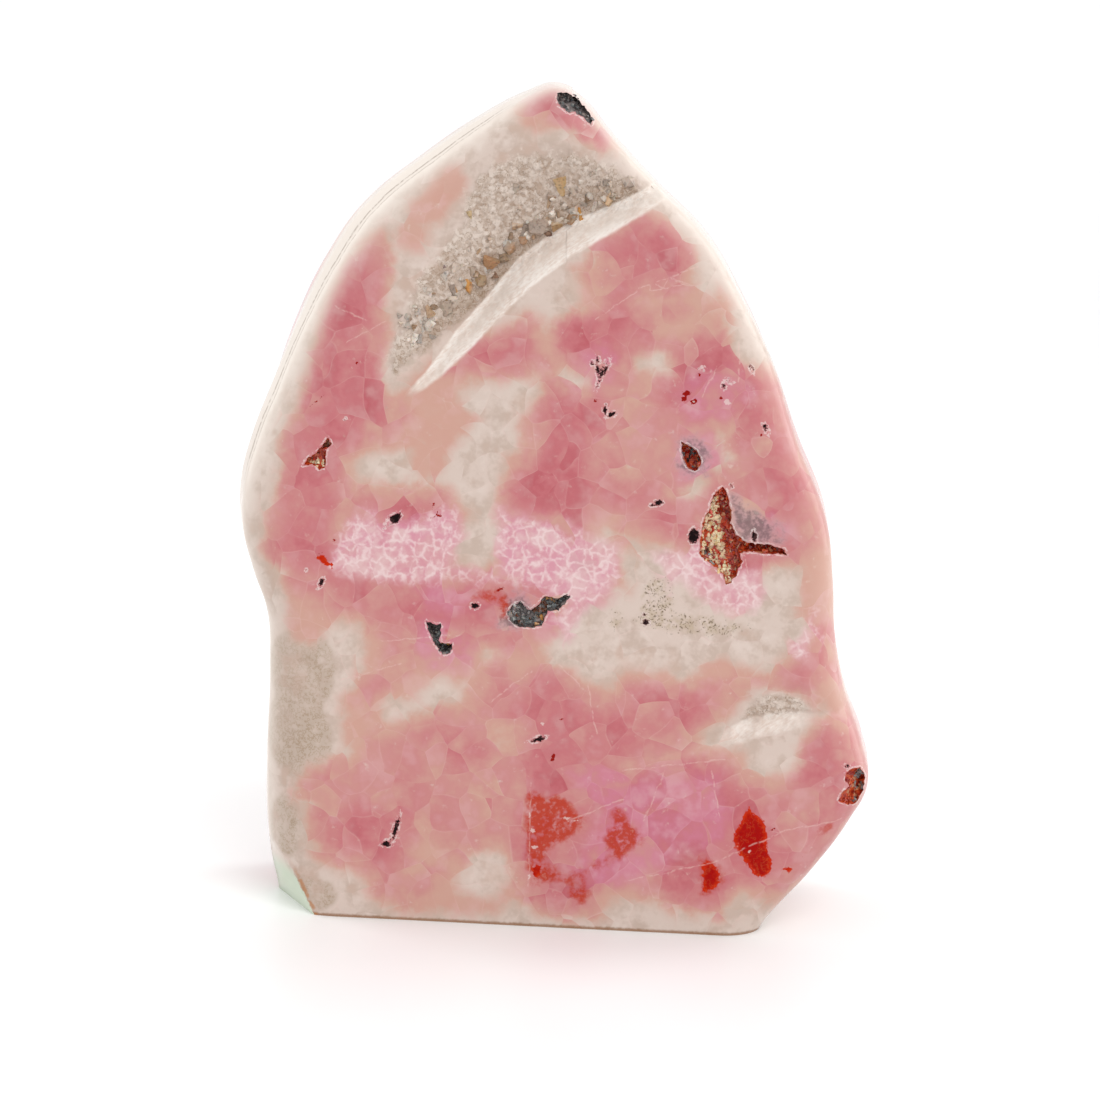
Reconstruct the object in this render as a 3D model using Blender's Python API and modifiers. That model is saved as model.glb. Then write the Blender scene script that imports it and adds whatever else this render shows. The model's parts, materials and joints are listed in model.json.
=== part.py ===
"""A polished freeform slab of pink aragonite, standing upright on its cut base.

The slab grew as one piece, so it is one solid. A crust of small crystals lines its largest pit.
Its broad front faces -Y, +X is to its right, +Z is up, and the origin is at the middle of its base.
"""

import math
import random

import bmesh
import bpy
import numpy as np
from mathutils import Euler, Vector, noise
from mathutils.bvhtree import BVHTree

MM = 0.001

# Driving sizes, in millimetres.
HEIGHT = 150.0
HALF_DEPTH = 21.0
EDGE_ROUND = 6.5
BELOW_BASE = 8.0
VOXEL = 1.5
STONE_FACES = 6300
CONTACT_GAP = 0.3

# The outline seen from the front: x and z of each point, anticlockwise from the base's left end.
OUTLINE = (
    (39.8, 2.0), (47.2, 11.0), (54.0, 20.8), (57.4, 28.0), (56.2, 35.0), (52.6, 44.5), (50.2, 55.0),
    (49.4, 64.0), (47.8, 75.5), (42.4, 89.0), (37.4, 102.6), (32.0, 113.1), (24.7, 124.7),
    (16.0, 133.0), (7.8, 141.4), (1.8, 147.9), (-3.0, HEIGHT), (-8.4, 148.4), (-14.8, 145.2),
    (-28.0, 136.2), (-37.0, 128.2), (-43.8, 118.1), (-49.2, 107.3), (-53.6, 96.0), (-56.6, 86.5),
    (-58.2, 77.0), (-57.8, 70.0), (-55.6, 62.5), (-53.0, 55.0), (-52.4, 46.0), (-52.6, 28.0),
    (-52.2, 13.0), (-50.8, 3.0), (-48.4, -BELOW_BASE), (33.6, -BELOW_BASE),
)

# How thick the slab is in front of its middle plane, and behind it.
FRONT_AT_BASE = 20.7
FRONT_SKEW = 0.08
FRONT_TAPER = 5.5
BACK_AT_BASE = 23.5
BACK_TAPER = 7.0
FRONT_DOME = 1.1
BACK_DOME = 4.0
WALL_BULGE = 0.02
WALL_WAVE = 0.5
LEFT_FALL = 6.0

# The upper left edge of the front is ground back in two flats that meet in a faint line.
EDGE_LEAN = 1.6
EDGE_FLAT = 2.6
EDGE_LINE = 0.35

# The upper ledge runs up to the right at this angle, from the point where it dies out.
UPPER_LEDGE_START = (-31.0, 97.0)
UPPER_LEDGE_ANGLE = math.radians(37.0)
# Along the ledge: distance, crest, foot of the wall, far edge of the sunk facet, depth at the foot.
UPPER_LEDGE = (
    (-3.0, -0.3, 0.3, 1.0, 0.0),
    (5.0, -0.2, 1.5, 7.5, 1.1),
    (14.0, 0.2, 4.0, 16.0, 2.8),
    (22.0, 0.8, 4.8, 19.5, 4.2),
    (31.0, 1.0, 6.1, 22.5, 5.3),
    (39.0, 0.5, 5.5, 23.0, 5.4),
    (47.0, -0.3, 3.8, 20.0, 5.0),
    (53.0, -0.9, 2.4, 14.0, 4.4),
    (60.0, -1.6, 0.9, 7.0, 3.8),
    (68.0, -2.4, 0.0, 4.0, 3.4),
)

# The lower ledge is the same kind of step, shallower, near the right edge.
LOWER_LEDGE_START = (12.0, 29.5)
LOWER_LEDGE_ANGLE = math.radians(15.5)
LOWER_LEDGE = (
    (-4.0, -0.4, 0.4, 2.0, 0.0),
    (8.0, -0.3, 0.9, 5.0, 0.35),
    (18.0, -0.3, 2.2, 8.0, 1.1),
    (26.0, 0.2, 3.8, 9.5, 1.9),
    (34.0, 0.2, 3.0, 9.0, 1.8),
    (41.0, -0.5, 1.0, 6.0, 1.2),
    (50.0, -2.0, 0.0, 3.0, 0.9),
)

# Pits: name, then lobes of x, z, half width, half height, turn in degrees, and the pit's depth.
LARGE_PIT = ((28.2, 75.6, 2.6, 5.2, 8.0), (28.6, 69.3, 4.0, 5.4, -18.0), (34.6, 71.3, 5.2, 1.9, -14.0))
PITS = (
    ("middle_pit", 2.6, ((-5.2, 57.0, 3.2, 2.3, 0.0), (-0.4, 58.9, 3.2, 1.8, 22.0))),
    ("lower_left_pit", 2.0, ((-22.2, 53.3, 1.6, 2.2, 20.0), (-19.9, 50.4, 1.6, 1.3, -30.0))),
    ("oval_pit", 2.4, ((22.6, 86.6, 1.9, 2.9, 20.0),)),
    ("left_edge_pit", 1.8, ((-43.0, 84.2, 1.6, 3.0, -35.0),)),
    ("tip_pit", 2.4, ((0.8, 146.2, 4.2, 1.8, -44.0),)),
    ("chamfer_pit", 2.8, ((53.8, 28.4, 2.4, 3.6, -12.0),)),
)
LARGE_PIT_DEPTH = 3.6
PIT_ROUGHNESS = 0.55

# The lower left corner of the front is ground away: a point on the cut, and the way it faces.
CORNER_CUT_AT = (-48.5, -12.3, 10.0)
CORNER_CUT_NORMAL = (-0.85, -0.38, -0.36)

# The crust in the large pit: how far below the face it stops, and its blocky crystals.
CRUST_BELOW_FACE = 1.9
CRUST_CRYSTALS = 26
CRYSTAL_SIZE = (1.2, 2.0)
CRUST_REACH = 0.72
CRUST_SEED = 4


def front_depth(x, z):
    """How far the polished front lies in front of the middle plane, before the ledges."""
    taper = FRONT_TAPER * (z / HEIGHT) ** 2
    left_fall = LEFT_FALL * np.clip((-40.0 - x) / 14.0, 0.0, 1.0) ** 2 * np.clip(1.0 - z / 60.0, 0.0, 1.0)
    return FRONT_AT_BASE + FRONT_SKEW * x - taper - left_fall


def back_depth(x, z):
    return BACK_AT_BASE - 0.03 * x - BACK_TAPER * (z / HEIGHT) ** 2


def smooth(t):
    t = np.clip(t, 0.0, 1.0)
    return t * t * (3.0 - 2.0 * t)


def ledge_depth(x, z, start, angle, rows):
    """How deep a stepped ledge is sunk: a wall drops from the crest to the foot, and the facet
    beyond the foot rises back to the polished face at its far edge."""
    along = (x - start[0]) * math.cos(angle) + (z - start[1]) * math.sin(angle)
    across = (z - start[1]) * math.cos(angle) - (x - start[0]) * math.sin(angle)
    table = np.array(rows)
    crest, foot, far, depth = (np.interp(along, table[:, 0], table[:, i]) for i in range(1, 5))
    wall = smooth((across - crest) / np.maximum(foot - crest, 0.1))
    facet = np.clip((far - across) / np.maximum(far - foot, 0.1), 0.0, 1.0)
    return depth * np.where(across < foot, wall, facet)


def link(obj, collection):
    collection.objects.link(obj)
    return obj


def evaluated_mesh(obj):
    bpy.context.view_layer.update()
    graph = bpy.context.evaluated_depsgraph_get()
    return bpy.data.meshes.new_from_object(obj.evaluated_get(graph))


def outline_curve(collection):
    """The slab as an extruded outline with round edges, standing in the XZ plane."""
    curve = bpy.data.curves.new("outline", "CURVE")
    curve.dimensions = "2D"
    curve.fill_mode = "BOTH"
    curve.resolution_u = 6
    curve.extrude = (HALF_DEPTH - EDGE_ROUND) * MM
    curve.bevel_depth = EDGE_ROUND * MM
    curve.bevel_resolution = 4
    curve.offset = -EDGE_ROUND * MM
    spline = curve.splines.new("BEZIER")
    spline.bezier_points.add(len(OUTLINE) - 1)
    for point, (x, z) in zip(spline.bezier_points, OUTLINE):
        point.co = (x * MM, z * MM, 0.0)
        point.handle_left_type = point.handle_right_type = "AUTO"
    spline.use_cyclic_u = True
    obj = link(bpy.data.objects.new("outline", curve), collection)
    obj.rotation_euler = (math.radians(90.0), 0.0, 0.0)
    return obj


def even_slab(guides):
    """The extruded outline as one even closed mesh."""
    outline = outline_curve(guides)
    mesh = evaluated_mesh(outline)
    mesh.transform(outline.matrix_world)
    bpy.data.objects.remove(outline)
    body = bmesh.new()
    body.from_mesh(mesh)
    bmesh.ops.remove_doubles(body, verts=body.verts, dist=0.01 * MM)
    body.to_mesh(mesh)
    body.free()
    slab = link(bpy.data.objects.new("slab", mesh), guides)
    remesh = slab.modifiers.new("even", "REMESH")
    remesh.mode = "VOXEL"
    remesh.voxel_size = VOXEL * MM
    even = evaluated_mesh(slab)
    bpy.data.objects.remove(slab)
    return even


def shape_slab(mesh):
    """Moves the even slab's points to the stone's own faces: taper, dome, bulging walls, ledges."""
    points = np.empty(len(mesh.vertices) * 3)
    mesh.vertices.foreach_get("co", points)
    x, y, z = (points.reshape(-1, 3) / MM).T
    side = np.clip(y / HALF_DEPTH, -1.0, 1.0)
    depth = np.where(side < 0.0, front_depth(x, z), back_depth(x, z))
    from_middle = smooth(np.hypot(x / 50.0, (z - 65.0) / 80.0))
    depth = depth - np.where(side < 0.0, FRONT_DOME, BACK_DOME) * from_middle
    sunk = ledge_depth(x, z, UPPER_LEDGE_START, UPPER_LEDGE_ANGLE, UPPER_LEDGE)
    sunk = sunk + ledge_depth(x, z, LOWER_LEDGE_START, LOWER_LEDGE_ANGLE, LOWER_LEDGE)
    y = depth * side + sunk * smooth((-side - 0.25) / 0.6)
    ground = smooth((z - 60.0) / 40.0) * smooth((2.0 - x) / 30.0)
    ground = ground * (EDGE_LEAN * (1.0 - side) / 2.0 + EDGE_FLAT * np.maximum(-side - EDGE_LINE, 0.0))
    wave = WALL_WAVE * np.sin(z / 9.0 + y / 6.0) * np.sin(y / 11.0 + 1.0) * smooth((np.abs(x) - 20.0) / 20.0)
    x = x * (1.0 - WALL_BULGE * side * side) + 0.85 * ground + np.sign(x) * wave - WALL_WAVE * 0.5 * np.sign(x)
    z = z * (1.0 - WALL_BULGE * 0.4 * side * side) - 0.5 * ground
    moved = np.stack((x, y, z), axis=1) * MM
    mesh.vertices.foreach_set("co", moved.ravel())
    mesh.update()


def cut_flat(mesh, point, normal):
    """Cuts away what lies on the side that normal points to, and closes the cut with a flat face."""
    body = bmesh.new()
    body.from_mesh(mesh)
    everything = body.verts[:] + body.edges[:] + body.faces[:]
    cut = bmesh.ops.bisect_plane(
        body, geom=everything, plane_co=Vector(point) * MM, plane_no=normal, clear_outer=True
    )
    rim = [item for item in cut["geom_cut"] if isinstance(item, bmesh.types.BMEdge)]
    bmesh.ops.holes_fill(body, edges=rim)
    bmesh.ops.triangulate(body, faces=[face for face in body.faces if len(face.verts) > 4])
    bmesh.ops.recalc_face_normals(body, faces=body.faces)
    body.to_mesh(mesh)
    body.free()


def surface_of(mesh):
    body = bmesh.new()
    body.from_mesh(mesh)
    tree = BVHTree.FromBMesh(body)
    body.free()
    return tree


def lobe(name, centre, size, turn, cutters, seed):
    """A rough closed lump, used to cut a pit."""
    body = bmesh.new()
    bmesh.ops.create_icosphere(body, subdivisions=3, radius=1.0)
    for vert in body.verts:
        swell = noise.noise(vert.co * 1.9 + Vector((seed * 7.3, 0.0, 0.0)))
        vert.co *= 1.0 + PIT_ROUGHNESS * swell
    mesh = bpy.data.meshes.new(name)
    body.to_mesh(mesh)
    body.free()
    obj = link(bpy.data.objects.new(name, mesh), cutters)
    obj.location = Vector(centre) * MM
    obj.rotation_euler = Euler((0.0, math.radians(-turn), 0.0))
    obj.scale = Vector(size) * MM
    obj.hide_render = True
    obj.display_type = "WIRE"
    return obj


def pit_lobes(name, depth, lobes, surface, cutters, shrink=0.0):
    """The cutters of one pit, sitting on the front. shrink makes them smaller all round."""
    made = []
    for index, (x, z, half_width, half_height, turn) in enumerate(lobes):
        from_front = Vector((x, -2.0 * HALF_DEPTH, z)) * MM
        centre = surface.ray_cast(from_front, Vector((0.0, 1.0, 0.0)))[0] / MM
        size = (half_width - shrink, depth - shrink, half_height - shrink)
        made.append(lobe(f"{name}_{index}", centre, size, turn, cutters, seed=index + 1))
    return made


def boolean(obj, other, operation):
    modifier = obj.modifiers.new(other.name, "BOOLEAN")
    modifier.operation = operation
    modifier.solver = "EXACT"
    modifier.object = other


def principled(name, colour, roughness):
    material = bpy.data.materials.new(name)
    material.use_nodes = True
    shader = material.node_tree.nodes["Principled BSDF"]
    shader.inputs["Base Color"].default_value = (*colour, 1.0)
    shader.inputs["Roughness"].default_value = roughness
    shader.inputs["Metallic"].default_value = 0.0
    return material


def build_stone(parts, cutters):
    mesh = even_slab(cutters)
    shape_slab(mesh)
    stone = link(bpy.data.objects.new("stone", mesh), parts)
    decimate = stone.modifiers.new("fewer_faces", "DECIMATE")
    decimate.ratio = STONE_FACES / (2 * len(mesh.polygons))
    stone.data = evaluated_mesh(stone)
    stone.modifiers.clear()
    cut_flat(stone.data, (0.0, 0.0, 0.0), (0.0, 0.0, -1.0))
    cut_flat(stone.data, CORNER_CUT_AT, CORNER_CUT_NORMAL)
    surface = surface_of(stone.data)
    for name, depth, lobes in (("large_pit", LARGE_PIT_DEPTH, LARGE_PIT),) + PITS:
        for cutter in pit_lobes(name, depth, lobes, surface, cutters):
            boolean(stone, cutter, "DIFFERENCE")
    stone.data.materials.append(principled("pink_aragonite", (0.62, 0.30, 0.29), 0.2))
    return stone, surface


def crystal(name, centre, size, turn, cutters):
    """One blocky crystal of the crust."""
    body = bmesh.new()
    bmesh.ops.create_cube(body, size=1.0)
    mesh = bpy.data.meshes.new(name)
    body.to_mesh(mesh)
    body.free()
    obj = link(bpy.data.objects.new(name, mesh), cutters)
    obj.location = centre * MM
    obj.rotation_euler = turn
    obj.scale = Vector(size) * MM
    obj.hide_render = True
    obj.display_type = "WIRE"
    return obj


def pit_room(name, surface, cutters, sunk, shrink):
    """The large pit's room, drawn in from its walls, up to a plane below the face."""
    lobes = pit_lobes(name, LARGE_PIT_DEPTH, LARGE_PIT, surface, cutters, shrink)
    first, *others = lobes
    for other in others:
        boolean(first, other, "UNION")
    mesh = evaluated_mesh(first)
    mesh.transform(first.matrix_world)
    middle = sum((lobe.location for lobe in lobes), Vector()) / len(lobes)
    cut_flat(mesh, middle / MM + Vector((0.0, sunk, 0.0)), (-FRONT_SKEW, -1.0, 0.0))
    return mesh


def build_crust(surface, parts, cutters):
    """The crystal crust on the floor of the large pit."""
    floor = pit_room("crust_floor", surface, cutters, CRUST_BELOW_FACE, shrink=0.0)
    room = pit_room("crust_room", surface, cutters, CONTACT_GAP, shrink=1.5 * CONTACT_GAP)
    crust = link(bpy.data.objects.new("large_pit_crystals", floor), parts)
    rng = random.Random(CRUST_SEED)
    for index in range(CRUST_CRYSTALS):
        x, z, half_width, half_height, turn = LARGE_PIT[index % 3]
        angle = rng.uniform(0.0, 2.0 * math.pi)
        reach = CRUST_REACH * math.sqrt(rng.random())
        across, up = reach * half_width * math.cos(angle), reach * half_height * math.sin(angle)
        lean = math.radians(turn)
        x += across * math.cos(lean) - up * math.sin(lean)
        z += across * math.sin(lean) + up * math.cos(lean)
        y = surface.ray_cast(Vector((x, -2.0 * HALF_DEPTH, z)) * MM, Vector((0.0, 1.0, 0.0)))[0].y
        centre = Vector((x, y / MM + CRUST_BELOW_FACE, z))
        size = [rng.uniform(*CRYSTAL_SIZE) for _ in range(3)]
        tilt = Euler([rng.uniform(-0.7, 0.7) for _ in range(3)])
        boolean(crust, crystal(f"crystal_{index}", centre, size, tilt, cutters), "UNION")
    walls = link(bpy.data.objects.new("crust_walls", room), cutters)
    walls.hide_render = True
    walls.display_type = "WIRE"
    boolean(crust, walls, "INTERSECT")
    crust.data.materials.append(principled("pit_crystals", (0.66, 0.45, 0.32), 0.35))
    return crust


def main():
    for obj in list(bpy.data.objects):
        bpy.data.objects.remove(obj)
    parts = bpy.data.collections.new("aragonite_specimen")
    cutters = bpy.data.collections.new("cutters")
    bpy.context.scene.collection.children.link(parts)
    bpy.context.scene.collection.children.link(cutters)
    stone, surface = build_stone(parts, cutters)
    build_crust(surface, parts, cutters)


main()
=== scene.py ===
import json
import math
import random

import bpy
import numpy as np
from mathutils import Matrix, Vector, noise
from mathutils.bvhtree import BVHTree
from mathutils.kdtree import KDTree

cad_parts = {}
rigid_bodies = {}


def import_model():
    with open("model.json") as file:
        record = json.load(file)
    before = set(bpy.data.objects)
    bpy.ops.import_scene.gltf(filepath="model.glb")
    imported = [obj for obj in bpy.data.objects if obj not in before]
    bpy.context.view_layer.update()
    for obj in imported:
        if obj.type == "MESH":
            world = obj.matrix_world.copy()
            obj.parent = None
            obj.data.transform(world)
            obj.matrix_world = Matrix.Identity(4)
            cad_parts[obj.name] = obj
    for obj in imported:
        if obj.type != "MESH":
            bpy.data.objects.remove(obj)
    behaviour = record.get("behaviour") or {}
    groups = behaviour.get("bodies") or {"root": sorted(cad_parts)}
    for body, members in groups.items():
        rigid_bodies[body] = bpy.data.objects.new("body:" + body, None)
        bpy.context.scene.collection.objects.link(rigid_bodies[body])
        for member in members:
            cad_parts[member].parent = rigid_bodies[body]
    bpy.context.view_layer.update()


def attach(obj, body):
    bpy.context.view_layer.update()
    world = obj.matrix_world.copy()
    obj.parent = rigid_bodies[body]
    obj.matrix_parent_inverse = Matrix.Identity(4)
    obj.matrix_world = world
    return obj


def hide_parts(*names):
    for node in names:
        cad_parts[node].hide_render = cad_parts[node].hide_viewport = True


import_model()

MM = 0.001

# ---------------------------------------------------------------- the stone's form, in mm

HEIGHT = 150.0
HALF_DEPTH = 21.0
EDGE_ROUND = 6.5
BELOW_BASE = 8.0
VOXEL = 0.95
OUTLINE = (
    (39.8, 2.0), (47.2, 11.0), (54.0, 20.8), (57.4, 28.0), (56.2, 35.0), (52.6, 44.5), (50.2, 55.0),
    (49.4, 64.0), (47.8, 75.5), (42.4, 89.0), (37.4, 102.6), (32.0, 113.1), (24.7, 124.7),
    (16.0, 133.0), (7.8, 141.4), (1.8, 147.9), (-3.0, HEIGHT), (-8.4, 148.4), (-14.8, 145.2),
    (-28.0, 136.2), (-37.0, 128.2), (-43.8, 118.1), (-49.2, 107.3), (-53.6, 96.0), (-56.6, 86.5),
    (-58.2, 77.0), (-57.8, 70.0), (-55.6, 62.5), (-53.0, 55.0), (-52.4, 46.0), (-52.6, 28.0),
    (-52.2, 13.0), (-50.8, 3.0), (-48.4, -BELOW_BASE), (33.6, -BELOW_BASE),
)
FRONT_AT_BASE = 20.7
FRONT_SKEW = 0.08
FRONT_TAPER = 5.5
BACK_AT_BASE = 23.5
BACK_SKEW = 0.03
BACK_TAPER = 7.0
FRONT_DOME = 1.1
BACK_DOME = 4.0
DOME_MIDDLE = 65.0
DOME_WIDTH, DOME_HEIGHT = 50.0, 80.0
WALL_BULGE = 0.02
WALL_WAVE = 0.5
# The front falls back at its lower left: how far, from which x and over what width, and below
# what height.
LEFT_FALL, LEFT_FALL_FROM, LEFT_FALL_OVER, LEFT_FALL_TOP = 6.0, -40.0, 14.0, 60.0
# The upper left edge is ground back: from which height and x, over what distances, and how far.
GROUND_FROM, GROUND_OVER = 60.0, 40.0
GROUND_RIGHT, GROUND_ACROSS = 2.0, 30.0
EDGE_LEAN = 1.6
EDGE_FLAT = 2.6
EDGE_LINE = 0.35
# How far from the middle of the slab, of its half depth, the front's own zones and relief reach.
ON_FRONT = -0.6
WELL_ON_FRONT = -0.7
FRONT_FACES = -0.8 * HALF_DEPTH

# Ledges: along the crest, then the crest, the foot, the far edge and how deep the foot is sunk.
UPPER_LEDGE_START = (-31.0, 97.0)
UPPER_LEDGE_ANGLE = math.radians(37.0)
UPPER_LEDGE = (
    (-3.0, -0.3, 0.3, 1.0, 0.0),
    (5.0, -0.2, 1.5, 7.5, 1.1),
    (14.0, 0.2, 4.0, 16.0, 2.8),
    (22.0, 0.8, 4.8, 19.5, 4.2),
    (31.0, 1.0, 6.1, 22.5, 5.3),
    (39.0, 0.5, 5.5, 23.0, 5.4),
    (47.0, -0.3, 3.8, 20.0, 5.0),
    (53.0, -0.9, 2.4, 14.0, 4.4),
    (60.0, -1.6, 0.9, 7.0, 3.8),
    (68.0, -2.4, 0.0, 4.0, 3.4),
)
LOWER_LEDGE_START = (12.0, 29.5)
LOWER_LEDGE_ANGLE = math.radians(15.5)
LOWER_LEDGE = (
    (-4.0, -0.4, 0.4, 2.0, 0.0),
    (8.0, -0.3, 0.9, 5.0, 0.35),
    (18.0, -0.3, 2.2, 8.0, 1.1),
    (26.0, 0.2, 3.8, 9.5, 1.9),
    (34.0, 0.2, 3.0, 9.0, 1.8),
    (41.0, -0.5, 1.0, 6.0, 1.2),
    (50.0, -2.0, 0.0, 3.0, 0.9),
)
# Below this height the ledge is the lower one, whose wall is duller, with less of the painted highlight.
LOWER_LEDGE_TOP, LOWER_WALL_SHARE = 60.0, 0.42
CORNER_CUT_AT = Vector((-48.5, -12.3, 10.0))
CORNER_CUT_NORMAL = Vector((-0.85, -0.38, -0.36)).normalized()

# Pits: their rim on the front, how deep they go and what lines them.
MAIN_RIM = (
    (28.3, 81.1), (27.2, 80.2), (26.5, 78.8), (26.2, 77.0), (25.2, 75.2), (25.0, 73.0), (24.7, 71.0),
    (24.6, 69.3), (25.9, 67.8), (27.6, 66.8), (28.8, 65.6), (29.6, 63.9), (30.4, 64.3), (31.3, 65.6),
    (31.7, 67.0), (32.3, 68.0), (31.8, 69.6), (33.8, 69.9), (36.0, 69.6), (38.2, 69.7), (40.0, 69.4),
    (39.7, 70.4), (37.2, 71.2), (34.4, 71.2), (32.5, 71.7), (31.0, 72.8), (30.0, 74.9), (30.0, 77.0),
    (29.4, 79.5), (28.8, 81.0),
)
MIDDLE_RIM = (
    (-8.8, 57.4), (-7.9, 58.8), (-6.5, 59.4), (-5.4, 58.2), (-4.6, 58.0), (-3.3, 59.2), (-2.4, 60.6),
    (-1.2, 60.4), (0.2, 60.3), (1.4, 61.0), (2.3, 60.9), (1.6, 59.9), (0.9, 59.0), (0.1, 58.2),
    (-1.6, 57.9), (-2.2, 56.8), (-2.6, 55.2), (-4.4, 54.9), (-6.8, 54.9), (-8.2, 55.8),
)
LOWER_LEFT_RIM = (
    (-23.3, 55.2), (-21.8, 54.6), (-20.7, 54.7), (-20.5, 53.0), (-21.0, 51.6), (-20.0, 51.1),
    (-18.6, 51.3), (-18.5, 50.2), (-19.2, 49.3), (-20.3, 49.3), (-21.1, 50.4), (-22.0, 51.6),
    (-22.8, 53.4),
)
OVAL_RIM = (
    (21.0, 88.8), (22.3, 88.2), (23.6, 87.3), (24.4, 86.0), (24.4, 84.6), (23.4, 83.8), (22.3, 84.2),
    (21.4, 85.4), (21.0, 87.0),
)
LEFT_EDGE_RIM = (
    (-41.3, 87.2), (-40.8, 86.0), (-41.8, 84.9), (-41.8, 83.2), (-41.8, 81.9), (-42.9, 81.3),
    (-44.2, 82.3), (-45.9, 81.9), (-44.8, 83.5), (-43.4, 84.3), (-42.4, 85.6),
)
TIP_RIM = (
    (-2.5, 148.4), (-0.6, 148.6), (1.4, 147.4), (3.0, 145.4), (4.0, 144.0), (3.7, 143.1), (2.2, 144.4),
    (0.9, 145.3), (-0.5, 145.2), (-2.2, 146.6),
)
CHAMFER_RIM = (
    (51.9, 30.8), (53.0, 31.4), (54.6, 31.4), (55.6, 29.6), (55.3, 27.0), (54.0, 24.8), (52.6, 24.9),
    (50.8, 25.6), (51.1, 27.0), (52.6, 28.4), (51.8, 29.6),
)
PITS = (
    ("main_pit", MAIN_RIM, 2.8, "rust"),
    ("middle_pit", MIDDLE_RIM, 1.8, "dark"),
    ("lower_left_pit", LOWER_LEFT_RIM, 1.6, "dark"),
    ("oval_pit", OVAL_RIM, 2.0, "rust"),
    ("left_edge_pit", LEFT_EDGE_RIM, 1.4, "rust"),
    ("tip_pit", TIP_RIM, 1.2, "dark"),
    ("chamfer_pit", CHAMFER_RIM, 1.6, "rust"),
)

# ---------------------------------------------------------------- zones of colour on the front

PEACH_ZONES = (
    (
        (-32.3, 124.5), (-30.9, 121.0), (-30.3, 118.3), (-30.8, 111.0), (-30.6, 106.0), (-32.5, 100.5),
        (-30.4, 95.7), (-26.5, 98.5), (-22.5, 102.0), (-19.0, 104.8), (-14.0, 107.8), (-9.5, 109.9),
        (-6.0, 110.0), (-3.0, 108.2), (-0.5, 110.4), (1.9, 112.8), (1.9, 115.3), (0.4, 118.2),
        (3.2, 120.3), (6.5, 124.4), (9.6, 126.8), (10.5, 128.8), (15.0, 128.5), (18.0, 127.0),
        (21.0, 123.7), (22.4, 119.2), (23.2, 115.2), (25.3, 113.6), (26.6, 116.0), (29.5, 113.0),
        (29.8, 107.8), (31.2, 104.0), (33.4, 103.7), (38.0, 100.0), (41.4, 95.0), (44.6, 89.0),
        (48.0, 83.0), (50.6, 77.0), (52.0, 70.0), (52.4, 62.0), (53.0, 55.0), (53.0, 50.5),
        (53.6, 47.0), (55.4, 43.0), (58.6, 38.0), (60.0, 33.0), (60.0, 28.0), (58.0, 23.0),
        (54.0, 16.0), (49.0, 9.0), (45.0, 5.0), (40.0, 4.5), (34.5, 6.4), (31.0, 3.0), (25.0, 2.5),
        (20.0, 5.0), (15.5, 6.0), (11.5, 3.0), (8.0, 1.0), (-3.0, 1.6), (-6.5, 4.0), (-9.5, 1.4),
        (-20.0, 1.1), (-29.0, 1.6), (-32.5, 4.0), (-36.5, 8.3), (-41.0, 9.5), (-45.0, 13.5),
        (-44.6, 20.3), (-47.6, 21.5), (-46.2, 24.8), (-42.5, 27.5), (-37.0, 30.7), (-38.4, 35.0),
        (-38.8, 40.4), (-35.6, 43.5), (-35.2, 49.0), (-36.3, 53.4), (-40.5, 52.7), (-43.5, 49.5),
        (-47.2, 50.6), (-47.3, 57.0), (-49.8, 62.0), (-52.6, 66.5), (-52.2, 74.0), (-50.2, 83.0),
        (-49.7, 88.5), (-48.3, 93.0), (-45.5, 101.0), (-43.4, 108.5), (-40.5, 116.5), (-37.0, 121.6),
    ),
    (
        (-10.2, 144.9), (-7.4, 147.6), (-4.2, 149.6), (-1.0, 149.6), (2.6, 147.6), (5.0, 144.8),
        (8.4, 141.2), (8.4, 139.2), (6.3, 139.2), (3.5, 140.0), (1.4, 141.2), (-0.9, 142.0),
        (-3.2, 141.4), (-6.1, 140.9), (-8.7, 141.9),
    ),
    (
        (-19.2, 136.2), (-18.0, 132.6), (-19.2, 129.0), (-22.0, 126.2), (-25.3, 125.0),
        (-28.8, 126.3), (-28.4, 129.4), (-26.2, 131.0), (-25.3, 133.0), (-24.0, 135.6), (-21.6, 136.8),
    ),
    (
        (-27.1, 125.9), (-25.0, 124.9), (-24.4, 122.8), (-25.6, 120.5), (-27.7, 120.2), (-29.5, 121.8),
        (-29.4, 124.3),
    ),
)
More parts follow.
